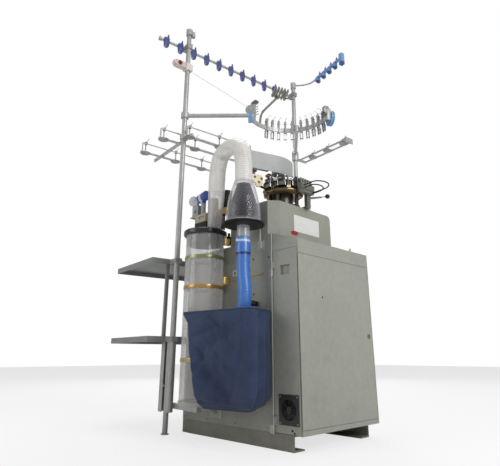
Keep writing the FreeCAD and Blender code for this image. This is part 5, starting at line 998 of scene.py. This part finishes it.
def open_shell(name, rings, material, thick, body, uv_name):
    """Cloth from rings of points, open at the first ring and gathered to one point at the last,
    with a map in metres along the weave and its thickness given inwards."""
    n, m = rings.shape[:2]
    i, j = np.meshgrid(np.arange(n - 1), np.arange(m), indexing="ij")
    quads = np.stack([i * m + j, i * m + (j + 1) % m, (i + 1) * m + (j + 1) % m, (i + 1) * m + j], -1)
    mesh = bpy.data.meshes.new(name)
    mesh.from_pydata(rings.reshape(-1, 3).tolist(), [], quads.reshape(-1, 4).tolist()
                     + [(np.arange(m) + (n - 1) * m).tolist()])
    around = np.concatenate([[0], np.cumsum(np.linalg.norm(np.diff(rings[0], axis=0), axis=1))])
    down = np.concatenate([[0], np.cumsum(np.linalg.norm(np.diff(rings, axis=0), axis=2).mean(1))])
    past = np.append(around, around[-1] + 0.004)[j + 1]
    u = np.stack([around[j], past, past, around[j]], -1)
    v = np.stack([down[i], down[i], down[i + 1], down[i + 1]], -1)
    laid = np.concatenate([np.stack([u, v], -1).reshape(-1, 2), np.zeros((m, 2))])
    layer = mesh.uv_layers.new(name=uv_name)
    layer.data.foreach_set("uv", laid.astype(np.float32).ravel())
    mesh.polygons.foreach_set("use_smooth", np.ones(len(mesh.polygons), bool))
    mesh.materials.append(material)
    made = placed(name, mesh)
    if np.dot(np.cross(rings[0, 1] - rings[0, 0], rings[1, 0] - rings[0, 0]),
              rings[0, 0] - rings[0].mean(0)) < 0:
        mesh.flip_normals()
    wall_of = made.modifiers.new("thickness", "SOLIDIFY")
    wall_of.thickness = thick
    wall_of.offset = -1
    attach(made, body)
    return made


bag = open_shell("cloth_sack", sack, cloth_blue, 0.0016, "machine", "weave")
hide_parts("sock_bag")
dress(zinc, "bag_frame")

# The rim is turned over the wire and sewn down: a round hem along the frame's two free sides.
hem_z = 0.5228
hem_route = np.array([(-0.1215, -0.4700, hem_z), (-0.0900, -0.4668, hem_z), (0.2300, -0.4250, hem_z),
                      (0.2640, -0.4150, hem_z), (0.2640, -0.3950, hem_z), (0.2300, -0.2900, hem_z),
                      (0.2260, -0.2790, hem_z)])
hem_line, gone = even_steps(line_points(smooth_line("hem_route", hem_route)), 260)
pucker = 0.0050 + 0.0003 * np.sin(gone / 0.011 * 2 * np.pi)
pucker[[0, -1]] = 0.0034
lofted("sewn_hem", hose_form(hem_line, pucker, (0, 0, 1), 14), cloth_blue, angle=70)

# ---------------------------------------------------------------- Air unit
# On the collector's lid: a black ribbed foot, a beige moulded box, die-cast valves with a gauge,
# and the tall filter bowls on a brass manifold.
foot_black = ((-0.25, -0.39, 0.90), (-0.10, -0.30, 0.9682), linear(34, 34, 36))
beige = finish("beige", linear(186, 182, 160), rough=0.45, soil=0.3, scale=16, grain=600, bump=0.08,
               zones=[foot_black])
valve_zones = [((-0.190, -0.39, 1.07), (-0.120, -0.32, 1.14), linear(64, 96, 178)),
               ((-0.176, -0.39, 1.07), (-0.160, -0.32, 1.14), linear(226, 228, 230)),
               ((-0.20, -0.33, 0.90), (-0.02, -0.25, 1.0055), linear(30, 30, 32)),
               ((-0.18, -0.33, 1.0068), (-0.122, -0.25, 1.12), linear(134, 130, 112)),
               ((-0.128, -0.33, 1.0045), (-0.02, -0.25, 1.0375), linear(206, 168, 104)),
               ((-0.10, -0.33, 1.0376), (-0.02, -0.25, 1.16), linear(28, 28, 32))]
die_cast = finish("die_cast", linear(172, 174, 178), rough=0.35, soil=0.3, scale=22, metal=0.25, grain=360,
                  bump=0.1, zones=valve_zones)
fitting_form = [(0.0, 0.0), (0.0150, 0.0), (0.0155, 0.0010), (0.0155, 0.0080), (0.0120, 0.0090),
                (0.0120, 0.0140), (0.0145, 0.0150), (0.0145, 0.0200), (0.0120, 0.0210), (0.0120, 0.0260),
                (0.0145, 0.0270), (0.0145, 0.0420), (0.0100, 0.0450), (0.0070, 0.0460), (0.0070, 0.0600),
                (0.0060, 0.0615), (0.0, 0.0618)]
fittings = turned(fitting_form, [(-0.094, -0.236, 0.8641), (-0.076, -0.206, 0.8641)], sides=24)
lofted("air_fittings", fittings, black_gloss)
dress(beige, "filter_box")
dress(die_cast, "valve_unit", angle=40)

# ---------------------------------------------------------------- Yarn stand
# Two galvanised tube masts, a rail between them and its shield-shaped blue guides, and a warning
# lamp that clasps the left mast.
mast_zinc = finish("mast_zinc", linear(184, 186, 183), rough=0.32, soil=0.25, scale=7, metal=0.4,
                   streak=(160, 160, 3), bump=0.04)
clamp_grey = finish("clamp_grey", linear(164, 167, 165), rough=0.42, soil=0.35, scale=18, metal=0.2,
                    grain=300, bump=0.1)
dress(mast_zinc, "left_mast", "right_mast", "top_rail", "stand_foot")
dress(clamp_grey, "mast_clamps")
guide_blue = finish("guide_blue", linear(72, 82, 138), rough=0.3, soil=0.2, scale=40, metal=0.1, grain=500,
                    bump=0.04, soil_colour=linear(56, 60, 104))
stand_u = np.array([0.99452, -0.10453, 0.0])
stand_v = np.array([0.10453, 0.99452, 0.0])
stand_at = np.array([-0.340, -0.370, 0.0])


def in_stand(rings):
    """Points given from the left mast's foot: across the stand, along its top rail, and up."""
    return stand_at + rings[..., :1] * stand_u + rings[..., 1:2] * stand_v + rings[..., 2:] * (0, 0, 1)


# Each guide is a pressed shield with a blade at its top corner, crowned towards the front, on a clip
# that grips the rail, with a glazed eyelet below.
shield = np.array([(-0.016, 0.006), (-0.013, 0.015), (-0.004, 0.019), (0.003, 0.022), (0.006, 0.036),
                   (0.0105, 0.0385), (0.0125, 0.034), (0.0130, 0.022), (0.0165, 0.014), (0.0170, -0.014),
                   (0.0125, -0.036), (0.0045, -0.0465), (-0.007, -0.0485), (-0.0145, -0.042),
                   (-0.0170, -0.016)])
crown = [(0.0, 1.0), (0.0035, 1.0), (0.0052, 0.90), (0.0064, 0.66), (0.0070, 0.30)]
shield_rings = np.zeros((len(crown), len(shield), 3))
for ring, (out_x, share) in zip(shield_rings, crown):
    ring[:, 0] = -0.0205 + out_x
    ring[:, 1:] = (0.0, 2.0965) + shield * share * 1.14
guide_y = -0.137 + 0.0924 * np.arange(11)
steps = np.stack([0 * guide_y, guide_y, 0 * guide_y], -1)[:, None, None, :]
plates = lofted("guide_shields", in_stand(shield_rings[None] + steps), guide_blue)
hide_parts("yarn_guides")
clip_form = [(0.0092, -0.0100), (0.0108, -0.0100), (0.0112, -0.0092), (0.0112, 0.0092), (0.0108, 0.0100),
             (0.0092, 0.0100)]
clip_at = in_stand(np.array([-0.030, 0.0, 2.100]) + steps[:, 0, 0])
lofted("guide_clips", turned(clip_form, clip_at, stand_v, 20), guide_blue, loop=True)
eyelet_glaze = finish("eyelet_glaze", linear(134, 142, 190), rough=0.15, soil=0.2, scale=60, grain=700,
                      bump=0.02)
eye_form = [(0.0030, 0.0), (0.0052, 0.0), (0.0058, 0.0012), (0.0050, 0.0026), (0.0036, 0.0026),
            (0.0030, 0.0014)]
eye_at = in_stand(np.array([-0.0137, 0.001, 2.072]) + steps[:, 0, 0])
lofted("guide_eyelets", turned(eye_form, eye_at, stand_u, 16), eyelet_glaze, loop=True)

# A thin straight stay runs from the lamp's clasp to the left end of the curved rail.
stay_from, stay_to = (-0.3245, -0.3700, 1.9298), (-0.0760, -0.1200, 1.6800)
lofted("stay_wire", rod(stay_from, stay_to, 0.0011, 0.0002, 0.001, 8), mast_zinc)
lens_red = ((-0.3245, -0.452, 1.936), (-0.30, -0.415, 1.972), linear(122, 34, 44))
clasp_white = ((-0.372, -0.391, 1.92), (-0.305, -0.33, 1.98), linear(236, 232, 228))
lamp_shell = finish("lamp_shell", linear(226, 206, 202), rough=0.3, soil=0.15, scale=30, grain=600, bump=0.03,
                    zones=[lens_red, clasp_white])
dress(lamp_shell, "beacon_lamp")

# ---------------------------------------------------------------- Feeler arc
# Curved flat rail between the masts, with a row of yarn feelers clipped to it, its two end
# fittings, and the tension stack on its bent stem.
arc_grey = finish("arc_grey", linear(188, 190, 188), rough=0.34, soil=0.25, scale=12, metal=0.3, grain=400,
                  bump=0.05)
dress(arc_grey, "arc_rail")
end_grey = finish("end_grey", linear(176, 178, 176), rough=0.34, soil=0.3, scale=26, metal=0.2, grain=500,
                  bump=0.05)
end_pale = finish("end_pale", linear(196, 198, 196), rough=0.3, soil=0.35, scale=30, metal=0.4, grain=500,
                  bump=0.04)
dark_pin = finish("dark_pin", linear(66, 66, 66), rough=0.3, soil=0.3, scale=40, metal=0.6, grain=500,
                  bump=0.04)
bank_zones = [((-0.30, 0.40, 2.05), (-0.0885, 0.60, 2.30), linear(176, 179, 180)),
              ((-0.0880, 0.40, 2.05), (0.20, 0.60, 2.158), linear(44, 88, 146)),
              ((-0.0880, 0.40, 2.1985), (0.156, 0.60, 2.2345), linear(112, 106, 166)),
              ((-0.0880, 0.40, 2.2346), (0.20, 0.60, 2.30), linear(214, 214, 214))]
bank_blue = finish("bank_blue", linear(122, 164, 218), rough=0.28, soil=0.2, scale=26, grain=500, bump=0.04,
                   zones=bank_zones)
arc_at = (0.131, -0.008, 0.0)
feeler_turns = 74.0 + 10.0 * np.arange(10) + 4.0 * (np.arange(10) >= 5)

# A feeler is a cast clip over the rail with a stepped back, two bent feeler wires above, and a
# swinging fork of two pressed leaves below.
clip_back = [(0.2208, 1.6000), (0.2208, 1.6295), (0.2312, 1.6295), (0.2312, 1.6050), (0.2352, 1.6050),
             (0.2360, 1.6440), (0.2410, 1.6450), (0.2410, 1.6505), (0.2345, 1.6515), (0.2345, 1.6590),
             (0.2390, 1.6600), (0.2390, 1.6650), (0.2320, 1.6660), (0.2310, 1.6760), (0.2190, 1.6780),
             (0.2165, 1.6700), (0.2165, 1.6000)]
satin_grey = finish("satin_grey", linear(172, 174, 174), rough=0.3, soil=0.3, scale=26, metal=0.35, grain=500,
                    bump=0.05)
clips = lofted("feeler_clips", pressed_round(clip_back, -0.0052, 0.0052, 0.0010, arc_at, feeler_turns),
               satin_grey)
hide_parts("feeler_units")
leaf = [(0.2200, 1.6040), (0.2330, 1.6040), (0.2385, 1.5900), (0.2375, 1.5560), (0.2330, 1.5490),
        (0.2265, 1.5510), (0.2230, 1.5700)]
leaf_rings = np.concatenate([pressed_round(leaf, y, y + 0.0018, 0.0004, arc_at, feeler_turns)
                             for y in (-0.0086, 0.0068)])
lofted("feeler_forks", leaf_rings, end_pale)
pin_spots = np.array([(0.2330, -0.0095, 1.5600), (0.2290, -0.0095, 1.5980), (0.2250, -0.0095, 1.6580)])
pin_at = set_round(pin_spots[:, None], arc_at, feeler_turns)
pin_form = np.array([(0.0, 0.0), (0.0024, 0.0), (0.0026, 0.0008), (0.0026, 0.0182), (0.0024, 0.0190),
                     (0.0, 0.0190)])
pins = np.concatenate([turned(pin_form, places[:, 0], tangent(t), 10)
                       for t, places in zip(feeler_turns, pin_at)])
lofted("feeler_pins", pins, dark_pin)


def bent_wire(corners, radius, sides=8):
    """Thin wire along a smooth line in the form's own x and z: rings square to it."""
    line, gone = even_steps(line_points(smooth_line("bend", corners)), 24)
    return hose_form(line, np.full(24, radius), (0, 1, 0), sides)


wires = np.concatenate([set_round(bent_wire(corners, 0.0011), arc_at, feeler_turns) for corners in (
    [(0.2220, -0.0030, 1.6700), (0.2120, -0.0030, 1.6840), (0.1960, -0.0030, 1.6900),
     (0.1860, -0.0030, 1.6820), (0.1850, -0.0030, 1.6720)],
    [(0.2220, 0.0030, 1.6560), (0.2060, 0.0030, 1.6650), (0.1900, 0.0030, 1.6600), (0.1850, 0.0030, 1.6480)],
    [(0.2220, 0.0, 1.6020), (0.2080, 0.0, 1.5920), (0.2020, 0.0, 1.5760), (0.2060, 0.0, 1.5620)])])
lofted("feeler_wires", wires, bright)

# The left end carries a grey round dial on a blue foot, the right end a blue grooved wheel that
# stands square to the arc under a small grey box.
left_turn, right_turn, box_turn, wheel_turn = 208.29, 54.70, 65.5, 60.5
dial_form = [(0.0, -0.0045), (0.0275, -0.0045), (0.0300, -0.0030), (0.0300, 0.0030), (0.0275, 0.0045),
             (0.0235, 0.0045), (0.0225, 0.0030), (0.0100, 0.0030), (0.0080, 0.0060), (0.0, 0.0065)]
dial_at = spots((0.226, 0.0, 1.6680), arc_at, left_turn)
dials = lofted("arc_left_dial", turned(dial_form, dial_at, tangent(left_turn), 40), end_grey)
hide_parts("arc_end_plates")
foot_form = [(0.2145, 1.5850), (0.2375, 1.5850), (0.2385, 1.6120), (0.2340, 1.6560), (0.2180, 1.6560),
             (0.2135, 1.6120)]
lofted("arc_left_foot", pressed_round(foot_form, -0.0050, 0.0046, 0.0010, arc_at, left_turn), bank_blue)
lofted("arc_right_foot", pressed_round(foot_form, -0.0046, 0.0050, 0.0010, arc_at, right_turn), end_grey)
wheel_form = [(0.0, -0.0080), (0.0300, -0.0080), (0.0330, -0.0100), (0.0420, -0.0100), (0.0440, -0.0085),
              (0.0440, -0.0040), (0.0405, -0.0022), (0.0405, 0.0022), (0.0440, 0.0040), (0.0440, 0.0085),
              (0.0420, 0.0100), (0.0330, 0.0100), (0.0300, 0.0080), (0.0, 0.0080)]
wheel_at = spots((0.2420, 0.0, 1.6080), arc_at, wheel_turn)
lofted("arc_right_wheel", turned(wheel_form, wheel_at, heading(wheel_turn), 44), bank_blue)
box_form = [(0.2180, 1.6290), (0.2340, 1.6290), (0.2340, 1.6520), (0.2430, 1.6560), (0.2440, 1.6860),
            (0.2380, 1.6940), (0.2140, 1.6940), (0.2080, 1.6860), (0.2090, 1.6560), (0.2180, 1.6520)]
lofted("arc_right_box", pressed_round(box_form, -0.0080, 0.0080, 0.0014, arc_at, box_turn), warm_grey)

# A small post over the curved rail's left end carries a comb of flat fingers and a sloping cover.
comb_x, comb_y = -0.0873, -0.0665
lofted("finger_post", slab(1.6292, 1.7380, 2, rounded(comb_x - 0.007, comb_x + 0.007, comb_y - 0.007,
                                                      comb_y + 0.007, 0.002), 0.001), end_grey)
fingers = [slab(z, z + 0.004, 2, rounded(comb_x - 0.003, comb_x + 0.036, comb_y - 0.002 - k * 0.001,
                                         comb_y + 0.002 - k * 0.001, 0.0015), 0.0006)
           for k, z in enumerate(1.6530 + 0.016 * np.arange(5))]
lofted("finger_comb", np.array(fingers), end_pale)
cover_form = [(comb_x - 0.016, 1.7260), (comb_x + 0.026, 1.7360), (comb_x + 0.027, 1.7430),
              (comb_x + 0.020, 1.7480), (comb_x - 0.010, 1.7440), (comb_x - 0.017, 1.7340)]
lofted("finger_cover", slab(comb_y - 0.012, comb_y + 0.012, 1, cover_form, 0.001), warm_grey)
olive = finish("olive", linear(132, 132, 120), rough=0.4, soil=0.35, scale=24, metal=0.2, grain=400,
               bump=0.08)
dress(olive, "tension_stack", angle=50)
dress(bank_blue, "tension_bank", angle=50)

# ---------------------------------------------------------------- Creels
# Ladder rails of flat galvanised bar with a round foot and a tapered peg for every yarn cone.
dress(zinc, "creel_rails")
dress(clamp_grey, "cone_holders", angle=50)

# ---------------------------------------------------------------- Shelves
# Two pressed sheet trays, hung lip downwards between the masts, in a plain grey paint.
shelf_grey = finish("shelf_grey", linear(140, 143, 140), rough=0.46, soil=0.3, scale=5, grain=400, bump=0.12)
dress(shelf_grey, "upper_shelf", "lower_shelf", edge=0.0012)
